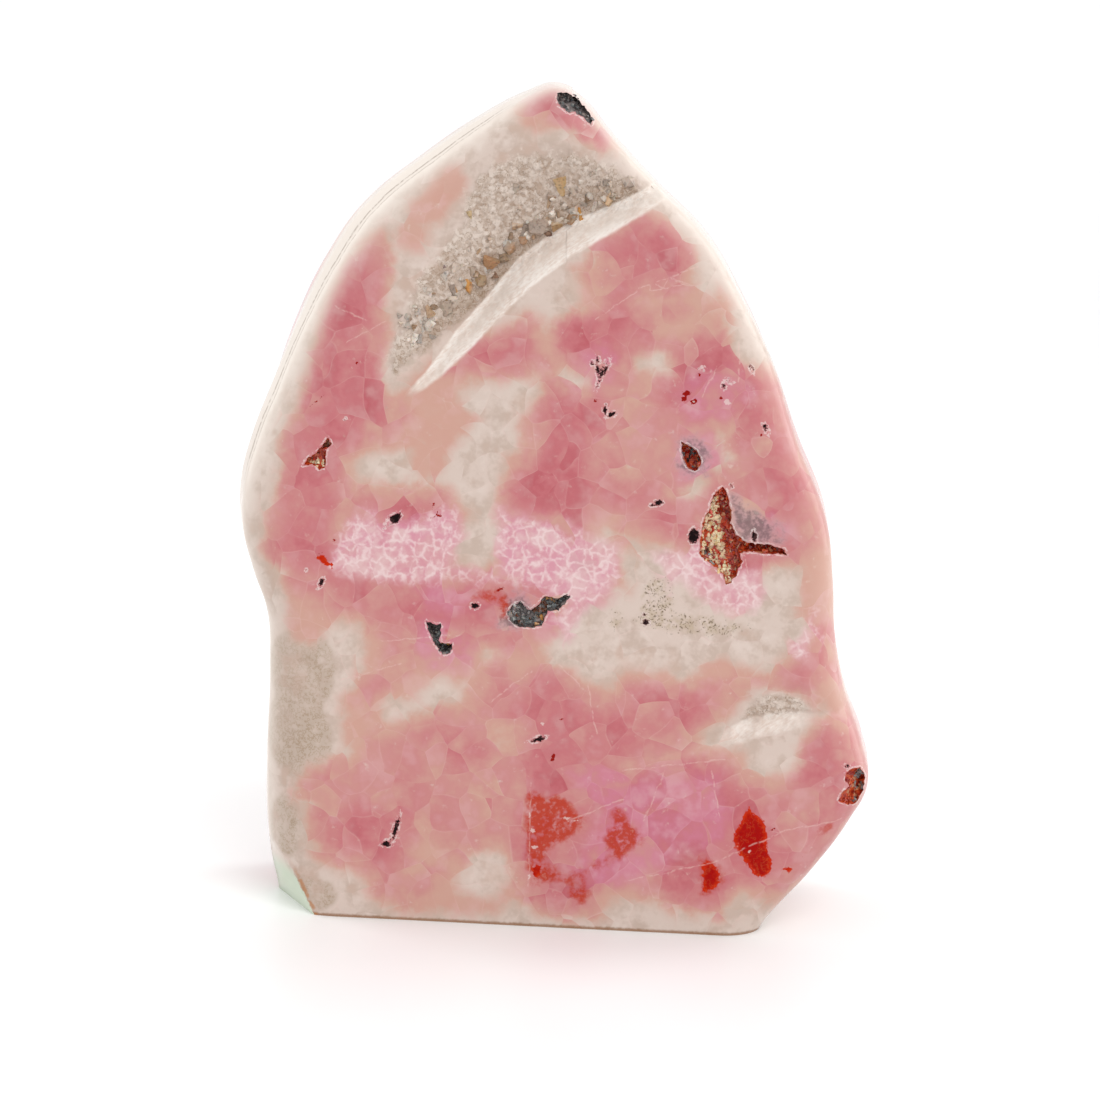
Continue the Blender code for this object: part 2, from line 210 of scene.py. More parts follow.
CREAM_HOLES = (
    (
        (-19.3, 97.2), (-16.0, 98.0), (-11.0, 97.8), (-8.5, 99.6), (-5.0, 99.8), (-5.0, 96.5),
        (-7.0, 93.5), (-8.0, 91.0), (-7.3, 88.5), (-8.0, 86.3), (-10.5, 85.8), (-11.0, 82.0),
        (-12.0, 78.0), (-12.0, 73.0), (-10.0, 70.5), (-12.5, 68.0), (-14.0, 65.6), (-17.5, 66.5),
        (-18.0, 69.0), (-17.3, 72.5), (-15.2, 74.0), (-15.5, 75.5), (-18.5, 78.0), (-21.0, 79.6),
        (-24.0, 80.0), (-21.5, 81.8), (-20.0, 85.5), (-18.5, 88.0), (-15.5, 90.0), (-15.0, 92.0),
        (-17.5, 93.0), (-18.6, 95.0),
    ),
    ((-36.0, 80.2), (-35.8, 83.0), (-33.0, 84.5), (-29.0, 85.5), (-26.2, 85.7), (-26.4, 82.5), (-25.0, 80.3)),
    ((-0.6, 99.6), (1.4, 99.3), (3.3, 98.6), (2.0, 97.7), (0.0, 97.9)),
    ((12.7, 101.0), (13.0, 103.0), (16.0, 104.4), (17.6, 104.3), (18.0, 100.9), (15.0, 100.5)),
    ((26.8, 90.4), (28.6, 90.4), (28.7, 88.5), (30.9, 86.6), (30.8, 84.5), (28.0, 85.2), (27.3, 88.0)),
    ((20.4, 80.3), (21.2, 79.4), (23.6, 80.0), (24.3, 81.4), (22.0, 81.1)),
    (
        (3.0, 67.0), (4.3, 69.5), (6.0, 71.0), (8.6, 73.0), (9.4, 71.2), (12.0, 70.0), (15.0, 69.0),
        (18.6, 68.6), (18.8, 65.8), (21.5, 67.3), (23.2, 67.3), (24.0, 64.6), (22.7, 63.0),
        (25.0, 61.0), (28.0, 60.7), (32.2, 58.9), (35.2, 62.0), (36.5, 66.2), (42.0, 66.0),
        (42.3, 60.0), (43.0, 55.5), (41.0, 54.0), (38.5, 50.8), (37.0, 49.3), (33.5, 49.2),
        (30.0, 50.7), (27.0, 50.2), (25.5, 48.4), (23.5, 45.8), (21.5, 45.3), (20.0, 48.4),
        (16.5, 47.4), (12.5, 47.4), (9.0, 45.6), (6.0, 45.6), (3.6, 48.0), (-0.5, 49.0), (-1.9, 51.5),
        (-1.5, 53.2), (1.0, 54.3), (3.5, 57.5), (8.0, 60.0), (9.8, 62.5), (12.3, 63.0), (10.5, 66.0),
        (9.6, 68.6), (5.5, 68.6), (4.6, 66.0), (5.5, 63.5), (4.0, 63.5),
    ),
    (
        (27.3, 34.6), (28.5, 37.0), (31.0, 39.5), (33.0, 42.5), (35.5, 45.0), (38.5, 45.8),
        (41.0, 45.0), (44.3, 44.4), (46.0, 42.0), (47.3, 40.4), (45.5, 39.0), (44.0, 36.0),
        (43.0, 32.0), (41.0, 30.2), (38.5, 29.5), (36.0, 30.3), (35.1, 31.5), (35.0, 34.5),
        (33.0, 35.2), (30.0, 34.6),
    ),
    (
        (-17.3, 8.5), (-15.5, 10.5), (-14.0, 12.2), (-10.5, 12.8), (-9.0, 11.8), (-8.0, 9.5),
        (-9.0, 7.8), (-10.0, 5.6), (-13.0, 5.3), (-16.0, 6.5),
    ),
    (
        (-30.4, 37.4), (-29.8, 39.8), (-25.5, 40.3), (-23.5, 43.0), (-21.0, 44.9), (-19.5, 44.7),
        (-17.8, 43.4), (-15.6, 43.9), (-16.8, 41.2), (-20.0, 40.0), (-24.0, 39.3), (-26.3, 38.5),
        (-27.0, 37.0), (-29.5, 36.8),
    ),
    ((-12.9, 50.0), (-12.3, 48.4), (-10.5, 48.7), (-9.7, 50.3), (-11.0, 51.3), (-12.5, 51.2)),
)
ROSE_ZONES = (
    (
        (-33.6, 122.8), (-32.2, 123.0), (-31.9, 120.5), (-31.2, 118.3), (-31.9, 114.0), (-31.8, 107.0),
        (-32.8, 103.5), (-32.2, 98.0), (-31.0, 94.2), (-29.0, 95.1), (-27.0, 93.6), (-26.9, 90.5),
        (-30.0, 88.5), (-33.0, 86.3), (-36.4, 84.7), (-36.6, 82.0), (-38.0, 80.0), (-37.0, 77.8),
        (-34.0, 78.9), (-28.0, 79.0), (-22.0, 78.7), (-19.5, 76.8), (-18.0, 74.0), (-19.0, 60.0),
        (-16.5, 49.0), (-20.0, 48.2), (-24.0, 48.0), (-25.5, 46.2), (-27.5, 43.9), (-30.0, 42.8),
        (-32.5, 41.0), (-33.8, 38.8), (-36.8, 39.0), (-35.0, 42.0), (-32.0, 45.0), (-31.0, 47.5),
        (-31.5, 50.5), (-34.5, 53.0), (-35.7, 54.8), (-40.0, 55.2), (-44.0, 57.6), (-47.0, 59.5),
        (-49.5, 62.0), (-51.0, 65.0), (-51.6, 69.0), (-51.0, 73.0), (-51.2, 77.0), (-50.3, 81.0),
        (-49.5, 84.0), (-48.5, 88.0), (-47.7, 91.0), (-46.9, 95.0), (-45.3, 100.0), (-44.0, 105.0),
        (-42.5, 109.5), (-41.5, 113.0), (-39.5, 117.0), (-37.0, 119.5),
    ),
    (
        (-20.0, 100.2), (-19.6, 102.3), (-17.0, 104.6), (-14.0, 106.8), (-11.0, 107.9), (-8.0, 109.0),
        (-5.6, 108.8), (-4.6, 106.5), (-4.0, 104.0), (-2.8, 103.4), (-1.0, 103.6), (0.0, 101.6),
        (-3.0, 101.4), (-6.0, 101.0), (-8.5, 99.6), (-13.0, 99.2), (-17.0, 99.6),
    ),
    (
        (10.3, 126.0), (12.5, 127.7), (15.5, 127.2), (18.5, 124.8), (20.3, 123.0), (20.6, 120.0),
        (20.3, 116.5), (18.5, 115.0), (16.0, 115.0), (13.5, 115.6), (11.5, 114.4), (11.2, 113.0),
        (13.5, 111.8), (17.0, 111.6), (19.5, 112.6), (20.6, 111.6), (19.5, 110.3), (17.0, 110.0),
        (16.4, 108.0), (18.0, 106.8), (20.5, 107.0), (24.5, 109.3), (25.3, 110.8), (27.5, 110.8),
        (29.2, 108.0), (30.2, 104.6), (32.0, 104.8), (34.6, 101.5), (39.4, 98.0), (42.6, 93.0),
        (46.0, 87.0), (49.6, 81.0), (51.4, 76.0), (51.6, 72.0), (47.0, 71.0), (44.0, 69.5),
        (43.3, 66.9), (38.5, 67.5), (35.5, 66.0), (34.4, 62.0), (32.5, 60.2), (29.5, 63.0),
        (26.5, 62.5), (25.2, 65.0), (23.8, 68.0), (21.0, 69.8), (17.0, 70.0), (13.0, 71.3),
        (10.0, 73.0), (10.8, 75.8), (8.0, 75.6), (5.5, 73.6), (3.5, 72.5), (0.0, 74.3), (-4.0, 74.0),
        (-7.0, 74.6), (-9.2, 75.6), (-10.2, 78.0), (-9.7, 82.0), (-7.8, 85.3), (-5.6, 87.5),
        (-6.7, 91.0), (-5.8, 94.5), (-4.0, 96.7), (-3.0, 99.4), (-1.8, 98.9), (-1.3, 97.2),
        (1.5, 96.6), (4.6, 97.2), (4.2, 99.0), (5.2, 100.4), (2.5, 101.2), (0.0, 102.0),
        (-1.8, 103.4), (-2.1, 106.5), (-1.2, 109.4), (2.0, 110.3), (4.6, 111.2), (7.3, 112.0),
        (7.0, 115.0), (4.3, 115.6), (2.8, 117.3), (4.5, 120.5), (7.2, 123.7),
    ),
    (
        (-20.0, 75.0), (-17.3, 74.0), (-17.0, 69.5), (-18.0, 66.5), (-13.0, 65.3), (-9.8, 67.0),
        (-11.0, 72.5), (-9.5, 75.5), (0.0, 74.6), (5.0, 72.0), (9.3, 69.5), (9.6, 64.0), (7.0, 60.5),
        (3.0, 57.5), (0.5, 55.0), (-2.0, 53.5), (-5.5, 50.4), (-8.2, 50.6), (-9.8, 52.4),
        (-14.0, 52.6), (-17.0, 49.5), (-21.0, 48.4), (-21.0, 60.0),
    ),
    (
        (-45.0, 23.2), (-42.5, 24.8), (-40.0, 27.0), (-35.0, 30.2), (-32.5, 33.4), (-27.0, 34.6),
        (-25.5, 37.0), (-20.5, 39.3), (-15.5, 40.5), (-13.3, 43.0), (-11.8, 46.5), (-9.3, 47.7),
        (-7.8, 46.4), (-4.5, 46.5), (-2.5, 47.7), (1.5, 47.5), (4.0, 44.6), (7.0, 43.8), (13.0, 44.8),
        (19.0, 44.6), (25.0, 44.9), (27.5, 46.0), (30.8, 45.2), (32.5, 48.1), (35.0, 47.5),
        (39.0, 48.6), (41.8, 51.5), (43.6, 55.0), (46.6, 57.0), (52.6, 55.0), (53.4, 48.0),
        (47.0, 45.4), (42.5, 45.2), (39.5, 46.4), (34.8, 46.0), (32.6, 43.8), (30.0, 43.0),
        (28.6, 39.4), (26.0, 38.3), (24.5, 35.5), (22.2, 32.0), (30.0, 31.9), (34.0, 29.4),
        (36.5, 28.3), (40.5, 28.3), (42.6, 29.8), (44.0, 35.5), (46.0, 39.2), (49.0, 41.0),
        (57.0, 39.6), (59.4, 34.0), (60.0, 29.0), (58.4, 24.6), (55.0, 18.4), (51.0, 13.4),
        (46.4, 10.4), (42.5, 9.0), (38.5, 8.8), (33.5, 8.2), (31.3, 4.7), (26.0, 4.2), (22.0, 4.9),
        (19.0, 6.7), (14.5, 8.0), (11.5, 6.0), (8.0, 2.9), (3.0, 2.5), (-1.0, 3.7), (-4.6, 4.0),
        (-6.8, 8.0), (-7.2, 12.6), (-9.5, 14.0), (-14.0, 12.6), (-19.0, 13.3), (-22.0, 15.4),
        (-24.5, 13.5), (-24.5, 9.6), (-20.5, 9.2), (-20.2, 7.0), (-22.5, 3.6), (-26.0, 2.7),
        (-30.5, 4.5), (-32.0, 7.3), (-36.0, 9.8), (-42.0, 12.2), (-43.9, 14.6), (-42.7, 19.5),
    ),
    (
        (-8.2, 147.0), (-4.6, 149.4), (-1.0, 149.4), (2.4, 147.4), (4.8, 144.4), (8.0, 141.0),
        (7.4, 139.8), (5.0, 139.8), (2.4, 140.7), (0.3, 142.8), (-1.8, 143.2), (-4.4, 144.0),
        (-7.3, 144.8),
    ),
)
DEEP_ZONES = (
    (
        (-37.0, 118.2), (-34.2, 116.8), (-33.8, 113.5), (-34.6, 112.4), (-33.4, 110.5), (-34.2, 107.8),
        (-36.5, 106.8), (-38.0, 104.6), (-36.8, 104.0), (-35.0, 104.8), (-33.7, 102.5), (-34.4, 99.6),
        (-32.8, 95.0), (-32.8, 91.3), (-35.0, 88.8), (-35.4, 86.0), (-39.6, 84.4), (-40.9, 79.6),
        (-39.3, 77.4), (-38.0, 75.0), (-40.0, 71.5), (-40.2, 67.5), (-38.0, 64.5), (-36.0, 62.3),
        (-31.0, 60.8), (-25.0, 61.0), (-20.5, 61.8), (-16.0, 62.0), (-10.5, 62.8), (-6.5, 61.6),
        (-6.0, 59.2), (-9.0, 57.5), (-12.5, 55.2), (-15.5, 54.8), (-18.5, 52.4), (-21.0, 54.5),
        (-24.4, 52.4), (-31.0, 53.4), (-35.0, 56.4), (-40.5, 58.8), (-42.5, 62.0), (-46.5, 62.0),
        (-49.6, 64.6), (-50.2, 67.0), (-48.2, 74.0), (-49.8, 78.5), (-48.7, 83.5), (-47.4, 88.0),
        (-45.8, 91.0), (-44.5, 97.0), (-42.0, 104.0), (-41.1, 109.5), (-39.6, 114.5),
    ),
    (
        (-31.5, 75.0), (-30.5, 76.6), (-28.0, 77.2), (-22.0, 76.7), (-21.8, 74.0), (-24.0, 73.5),
        (-24.2, 71.0), (-25.2, 69.5), (-26.8, 71.5), (-28.0, 73.5),
    ),
    (
        (-17.4, 101.0), (-17.2, 103.0), (-14.0, 104.8), (-11.0, 105.6), (-9.5, 106.6), (-7.5, 106.5),
        (-6.5, 104.5), (-7.0, 102.0), (-10.0, 100.9), (-14.0, 100.8), (-16.5, 100.2),
    ),
    (
        (5.3, 119.5), (6.0, 121.5), (9.0, 122.5), (10.0, 124.3), (15.5, 125.0), (18.5, 123.5),
        (19.5, 121.0), (20.0, 119.0), (19.5, 117.5), (17.0, 116.5), (16.5, 115.0), (13.0, 115.8),
        (11.0, 114.0), (11.5, 112.0), (13.0, 110.7), (15.3, 109.0), (14.8, 107.8), (12.0, 108.2),
        (10.0, 106.3), (9.8, 104.0), (10.8, 102.0), (8.0, 101.2), (5.3, 101.0), (4.5, 99.3),
        (3.0, 100.8), (1.0, 101.0), (0.5, 103.0), (-1.2, 104.8), (-1.3, 106.0), (0.0, 109.0),
        (3.5, 110.0), (5.5, 111.7), (7.3, 111.7), (7.4, 114.5), (5.8, 116.5),
    ),
    (
        (20.3, 105.3), (23.0, 106.3), (26.0, 106.5), (26.8, 108.0), (29.6, 106.0), (30.2, 102.5),
        (29.5, 100.6), (31.5, 100.5), (31.3, 102.5), (32.3, 102.3), (32.3, 100.0), (33.7, 98.5),
        (32.8, 96.5), (33.5, 95.0), (36.5, 95.0), (37.3, 92.6), (34.0, 92.0), (33.5, 90.0),
        (32.3, 88.6), (31.0, 90.5), (30.4, 93.0), (29.5, 95.0), (27.8, 93.8), (25.0, 91.9),
        (22.0, 91.6), (20.5, 93.5), (17.5, 94.8), (16.8, 96.0), (17.6, 98.5), (20.0, 99.8),
    ),
    (
        (-3.2, 93.8), (-2.0, 96.1), (-0.3, 95.1), (1.8, 94.5), (3.3, 95.4), (5.0, 94.8), (6.0, 95.8),
        (6.6, 93.8), (8.2, 93.1), (5.5, 90.6), (3.6, 88.7), (5.2, 85.0), (5.8, 82.6), (4.2, 80.0),
        (4.5, 75.5), (3.8, 73.4), (2.0, 73.4), (0.0, 75.0), (-4.5, 74.9), (-8.5, 76.0), (-9.2, 78.5),
        (-6.5, 83.0), (-3.0, 85.3), (-2.3, 88.0), (-4.1, 91.0),
    ),
    (
        (6.2, 81.0), (7.0, 82.7), (10.0, 82.8), (12.2, 83.2), (15.0, 82.0), (16.5, 80.0), (15.3, 77.0),
        (13.5, 77.0), (11.0, 77.8), (8.5, 79.0),
    ),
    (
        (13.8, 73.6), (15.5, 75.5), (16.0, 77.0), (19.5, 77.7), (21.0, 76.2), (22.0, 74.8), (22.2, 71.0),
        (16.5, 72.0),
    ),
    (
        (36.3, 89.6), (38.5, 89.6), (39.0, 87.0), (40.5, 84.5), (41.5, 82.0), (42.6, 80.0),
        (41.8, 77.8), (42.3, 76.3), (39.5, 76.2), (37.0, 76.8), (37.8, 78.8), (37.0, 81.0),
        (34.8, 83.0), (34.3, 85.2), (35.5, 87.5),
    ),
    ((31.8, 69.8), (35.5, 69.2), (40.0, 69.3), (39.0, 68.6), (34.6, 68.0), (34.2, 64.5), (31.0, 64.0)),
    (
        (-9.0, 38.7), (-7.5, 40.5), (-4.5, 43.5), (-2.5, 45.6), (0.5, 45.9), (3.0, 44.0), (5.5, 39.9),
        (13.5, 40.2), (15.0, 42.3), (20.0, 43.5), (24.5, 43.4), (25.8, 41.6), (24.8, 38.5),
        (22.0, 35.3), (16.0, 33.7), (12.7, 30.4), (14.0, 28.8), (20.0, 30.0), (27.0, 31.1),
        (30.5, 29.3), (33.0, 27.0), (38.5, 25.3), (42.4, 26.0), (41.8, 22.5), (45.0, 21.8),
        (46.8, 25.4), (48.2, 21.5), (45.5, 18.5), (43.3, 14.8), (40.0, 12.0), (35.0, 9.8),
        (31.2, 6.4), (26.5, 7.0), (22.0, 7.0), (19.6, 8.6), (17.5, 10.8), (14.0, 10.5), (11.0, 8.5),
        (8.0, 5.2), (4.0, 3.5), (0.5, 5.0), (-3.6, 4.8), (-5.5, 9.5), (-6.6, 12.5), (-5.5, 15.5),
        (-6.2, 20.0), (-4.4, 24.5), (-4.9, 30.0), (-5.9, 34.8), (-5.1, 37.3),
    ),
    (
        (44.0, 29.0), (45.0, 33.0), (46.0, 37.5), (47.5, 38.9), (49.0, 38.5), (50.0, 37.0),
        (51.8, 37.0), (52.0, 34.5), (53.0, 32.5), (52.0, 30.5), (51.0, 28.0), (51.0, 25.0),
        (49.8, 27.0), (47.5, 28.3),
    ),
    ((41.0, 48.8), (42.5, 49.9), (45.7, 49.9), (45.3, 47.8), (43.8, 46.2), (42.5, 46.5)),
    (
        (-37.5, 19.5), (-34.8, 21.8), (-33.0, 21.0), (-29.0, 21.2), (-26.5, 22.8), (-25.2, 17.5),
        (-26.5, 19.2), (-29.5, 18.0), (-30.0, 15.0), (-28.0, 12.5), (-30.0, 11.5), (-32.0, 10.3),
        (-34.0, 11.7), (-37.0, 12.0), (-38.0, 14.0),
    ),
    ((-24.7, 34.3), (-22.5, 36.0), (-20.8, 36.0), (-21.5, 34.0), (-23.5, 32.5)),
    (
        (-19.2, 33.0), (-16.8, 34.0), (-15.5, 35.0), (-12.2, 33.8), (-11.5, 31.0), (-12.5, 29.8),
        (-15.0, 30.0), (-17.0, 31.5),
    ),
    (
        (-6.2, 147.4), (-3.6, 149.0), (-1.0, 149.0), (2.0, 147.0), (4.4, 144.0), (6.6, 141.7),
        (6.0, 140.9), (3.3, 141.1), (0.8, 142.7), (-1.5, 143.7), (-4.2, 145.2),
    ),
)
LACE_ZONES = (
    (
        (-40.5, 64.5), (-40.0, 69.0), (-38.5, 73.0), (-36.0, 74.0), (-33.0, 73.5), (-31.5, 70.5),
        (-27.0, 72.5), (-24.5, 73.0), (-20.5, 75.5), (-18.0, 75.6), (-16.8, 73.0), (-17.2, 69.5),
        (-17.8, 66.5), (-13.0, 65.0), (-12.0, 62.5), (-20.0, 62.5), (-28.0, 62.0), (-34.0, 62.5),
    ),
    (
        (-11.5, 76.5), (-9.5, 74.8), (-6.0, 74.0), (-1.0, 74.2), (3.0, 71.5), (7.0, 71.0), (9.8, 69.0),
        (9.8, 64.0), (7.5, 60.5), (4.0, 57.0), (1.5, 53.5), (0.0, 56.5), (2.0, 60.5), (-2.0, 62.0),
        (-7.0, 62.0), (-12.0, 62.5), (-11.5, 67.5), (-11.5, 72.0),
    ),
    (
        (15.5, 69.0), (18.5, 70.5), (24.0, 69.5), (26.5, 66.5), (29.5, 64.5), (33.0, 66.0),
        (36.0, 66.0), (37.0, 62.5), (34.0, 58.8), (30.0, 59.5), (25.0, 60.5), (21.0, 64.5), (19.5, 62.0),
        (18.0, 66.0),
    ),
    ((41.0, 53.0), (42.5, 57.0), (45.0, 59.0), (46.0, 54.0), (44.5, 50.5), (41.5, 50.5)),
)
LILAC_ZONES = (
    (
        (2.0, 29.0), (8.0, 31.0), (14.0, 28.0), (20.0, 30.0), (29.0, 30.0), (32.0, 24.0),
        (31.0, 18.0), (28.0, 15.0), (23.0, 16.0), (21.0, 11.0), (14.0, 9.5), (9.0, 7.0), (3.0, 12.0),
        (6.0, 17.0), (8.0, 22.0), (4.0, 26.0),
    ),
    ((-40.0, 66.0), (-38.0, 73.0), (-26.0, 74.0), (-19.0, 75.0), (-17.5, 70.0), (-22.0, 67.5), (-30.0, 67.0)),
    ((-26.0, 60.5), (-20.0, 62.5), (-15.0, 61.5), (-14.0, 58.0), (-18.0, 56.3), (-23.0, 58.0)),
    (
        (22.5, 70.0), (25.0, 70.0), (30.0, 66.5), (34.5, 66.5), (34.0, 61.0), (31.0, 61.5), (28.0, 63.5),
        (24.0, 63.0),
    ),
    (
        (-11.0, 76.0), (-3.0, 75.0), (3.0, 72.0), (5.0, 67.0), (9.5, 66.0), (9.5, 61.5), (6.0, 57.0),
        (1.0, 53.5), (-3.0, 54.5), (0.0, 60.0), (-4.0, 62.0), (-12.0, 64.0), (-11.0, 70.0),
    ),
    ((19.5, 88.0), (22.0, 91.0), (26.0, 90.0), (28.0, 86.0), (26.0, 82.5), (22.5, 81.8), (20.0, 84.0)),
    ((2.0, 99.5), (3.0, 104.0), (7.0, 106.0), (9.5, 103.0), (9.0, 98.0), (6.0, 96.5)),
    ((19.5, 97.0), (22.0, 100.5), (29.0, 102.0), (33.0, 98.0), (29.0, 94.0), (23.0, 93.0)),
    ((35.0, 75.0), (37.0, 76.5), (40.5, 74.5), (40.5, 72.5), (38.0, 72.5)),
    ((-25.0, 50.5), (-21.5, 46.5), (-16.0, 46.0), (-14.5, 50.0), (-18.0, 54.5), (-23.5, 55.5)),
)
SMOKE_ZONES = (
    (
        (29.4, 79.4), (31.5, 78.8), (34.0, 76.4), (37.4, 75.0), (39.6, 72.0), (36.5, 71.2), (32.0, 71.8),
        (30.4, 74.4),
    ),
    ((20.8, 89.0), (23.0, 89.6), (25.5, 87.5), (25.6, 84.0), (23.0, 83.0), (20.8, 84.5)),
    ((-9.6, 59.5), (-6.0, 61.0), (-4.0, 58.8), (-7.5, 54.4), (-10.0, 55.4)),
)
BRIGHT_STAINS = (
    (
        (34.5, 24.4), (35.3, 23.2), (36.2, 22.5), (37.9, 21.1), (38.3, 19.0), (38.5, 16.6),
        (39.4, 14.2), (39.4, 12.6), (37.9, 11.0), (36.5, 11.4), (35.2, 12.9), (34.2, 14.5),
        (33.0, 16.2), (32.3, 17.6), (32.8, 19.5), (33.8, 21.2), (34.3, 22.8),
    ),
    ((26.9, 13.7), (28.6, 13.5), (30.0, 11.9), (30.4, 10.2), (28.8, 8.0), (27.2, 8.2), (27.2, 10.5)),
    ((41.3, 12.6), (42.3, 13.6), (43.4, 12.3), (42.4, 11.9)),
    ((-43.3, 65.6), (-42.2, 66.4), (-41.2, 65.4), (-40.0, 64.3), (-40.3, 63.7), (-41.6, 64.5)),
    ((-3.4, 11.4), (-1.6, 11.8), (-1.8, 9.6), (-3.3, 9.2)),
)
SOFT_STAINS = (
    (
        (26.5, 14.4), (28.0, 14.2), (29.6, 13.2), (30.7, 11.6), (31.2, 10.2), (29.8, 9.6), (29.6, 8.4),
        (28.6, 7.4), (26.9, 7.2), (26.7, 9.4), (26.8, 12.0),
    ),
    (
        (11.2, 23.0), (12.6, 21.8), (14.2, 19.8), (16.9, 17.0), (16.2, 15.8), (14.0, 15.4),
        (12.6, 13.4), (9.8, 12.8), (10.2, 15.4), (8.9, 17.0), (10.4, 19.4),
    ),
    (
        (-4.2, 25.4), (-1.0, 24.6), (2.2, 24.4), (3.2, 22.6), (5.8, 20.8), (6.2, 19.0), (3.0, 16.6),
        (-0.5, 14.4), (-0.6, 11.8), (2.4, 9.6), (-0.5, 8.4), (-3.6, 7.8), (-4.3, 14.0), (-4.8, 20.0),
    ),
    ((0.0, 9.6), (3.0, 9.6), (6.0, 11.4), (10.0, 13.4), (10.4, 12.4), (6.5, 10.0), (3.0, 8.4)),
    ((3.6, 8.6), (6.0, 9.0), (7.2, 6.6), (6.0, 4.8), (3.2, 5.6)),
    (
        (-14.9, 59.7), (-13.0, 60.9), (-10.8, 61.6), (-10.9, 60.6), (-8.9, 60.2), (-8.3, 59.0),
        (-9.2, 56.3), (-10.3, 56.6), (-10.6, 58.6), (-12.3, 59.7),
    ),
    ((-19.9, 53.6), (-19.0, 52.2), (-18.6, 51.2), (-20.0, 51.4)),
    ((48.9, 21.4), (49.8, 21.0), (49.7, 20.2), (49.0, 20.4)),
    ((47.6, 20.1), (48.7, 19.9), (48.6, 19.4), (47.8, 19.5)),
)
DRUSE_ZONES = (
    (
        (-31.0, 97.0), (-31.5, 103.0), (-28.5, 110.0), (-26.5, 116.0), (-22.5, 121.0), (-19.0, 126.0),
        (-18.5, 131.0), (-15.0, 136.0), (-8.0, 138.5), (0.0, 139.0), (6.0, 137.5), (12.0, 134.5),
        (15.5, 131.5), (14.0, 129.4), (2.0, 124.0), (-5.0, 118.5), (-12.0, 113.0), (-20.0, 106.0),
    ),
    (
        (32.0, 38.4), (33.5, 42.0), (36.5, 45.0), (41.0, 45.4), (44.6, 43.6), (46.6, 41.4), (44.0, 40.2),
        (40.0, 39.4), (36.0, 38.6),
    ),
)

# Small marks: x, z, half width, half height, turn.
DARK_MARKS = (
    (6.0, 102.7, 0.30, 0.45, 10), (4.9, 102.0, 0.18, 0.22, 0), (6.0, 100.8, 0.28, 1.0, 12),
    (6.6, 100.2, 0.25, 1.45, -18), (7.2, 100.8, 0.22, 1.0, -25), (7.4, 93.9, 0.22, 0.62, 5),
    (8.6, 93.2, 0.60, 0.34, 25), (28.0, 98.8, 0.25, 0.36, 10), (29.1, 99.7, 0.50, 0.28, -35),
    (32.8, 101.9, 0.24, 0.50, 25), (24.2, 101.8, 0.34, 0.20, 0), (35.4, 91.9, 0.26, 0.55, 25),
    (35.8, 91.2, 0.24, 0.50, 20), (17.3, 78.0, 0.70, 0.40, 20), (16.5, 77.5, 0.35, 0.16, 10),
    (-29.3, 73.2, 0.95, 0.75, 20), (-28.7, 73.4, 0.45, 0.80, -30), (-30.8, 72.0, 0.15, 0.55, -15),
    (-42.2, 61.1, 0.32, 0.75, -25), (-14.6, 58.3, 0.60, 0.45, 10), (-28.0, 17.0, 0.36, 1.8, -14),
    (-29.7, 14.0, 0.75, 0.45, 5), (-3.0, 34.6, 1.05, 0.28, 18), (-2.4, 34.8, 0.50, 0.42, 0),
    (-38.2, 90.6, 0.24, 0.18, 20), (-45.0, 63.3, 0.14, 0.14, 0), (15.8, 56.6, 0.55, 0.42, -20),
    (15.6, 58.1, 0.30, 0.24, 0), (23.6, 72.3, 0.85, 1.3, -10), (34.2, 72.6, 0.40, 0.80, 0),
    (52.2, 32.0, 0.34, 0.16, 0), (29.9, 81.4, 0.16, 0.22, 0),
)
RUST_MARKS = (
    (21.5, 97.3, 0.75, 0.50, 10), (22.9, 95.9, 0.75, 0.42, 15), (21.2, 96.3, 0.45, 0.55, 0),
    (23.7, 100.6, 0.22, 0.34, 0), (27.6, 96.7, 0.30, 0.36, 0), (-22.6, 76.0, 0.42, 0.30, 0),
    (-22.0, 74.8, 0.32, 0.85, 15), (-21.3, 74.1, 0.34, 0.24, 0), (-22.9, 73.7, 0.28, 0.20, 0),
    (-40.4, 68.8, 0.60, 0.16, 0), (-36.6, 100.2, 0.42, 0.18, 0), (-36.5, 100.3, 0.12, 0.40, 0),
    (0.0, 31.6, 0.38, 0.60, 0), (-0.4, 31.0, 0.20, 0.40, 0), (5.6, 95.5, 0.28, 0.20, 0),
    (44.9, 15.0, 0.16, 0.16, 0), (39.4, 20.1, 0.42, 0.16, 30), (-43.6, 93.4, 0.9, 0.10, 40),
    (-41.4, 95.2, 1.6, 0.09, 38), (1.2, 38.5, 0.5, 0.12, 20), (34.8, 90.4, 0.2, 0.2, 0),
    (-10.3, 61.4, 0.9, 0.22, 30), (-42.6, 66.6, 0.5, 0.2, 0),
)
# Thin pale fractures: x, z, half length, turn.
PALE_LINES = (
    (17.0, 117.0, 5.6, 22), (9.0, 112.3, 3.8, 36), (17.5, 115.6, 2.8, 12), (22.0, 11.6, 8.2, 15),
    (36.0, 17.0, 6.4, 27), (45.5, 20.8, 5.6, 12), (7.6, 22.0, 4.8, 24), (22.5, 31.2, 9.5, 9),
    (29.0, 26.0, 3.5, 102), (18.0, 25.0, 4.0, 70), (33.2, 66.8, 1.6, 102), (-3.9, 17.0, 8.8, 90),
    (-24.0, 52.0, 6.5, 8), (-33.0, 45.5, 5.0, 18), (-8.0, 44.0, 4.0, 40), (1.5, 47.5, 3.5, -42),
    (6.5, 41.0, 4.2, 102), (-35.0, 106.0, 3.2, 30), (-37.5, 109.0, 2.6, -22), (30.5, 103.0, 2.6, 90),
    (25.5, 99.5, 2.2, 65),
)
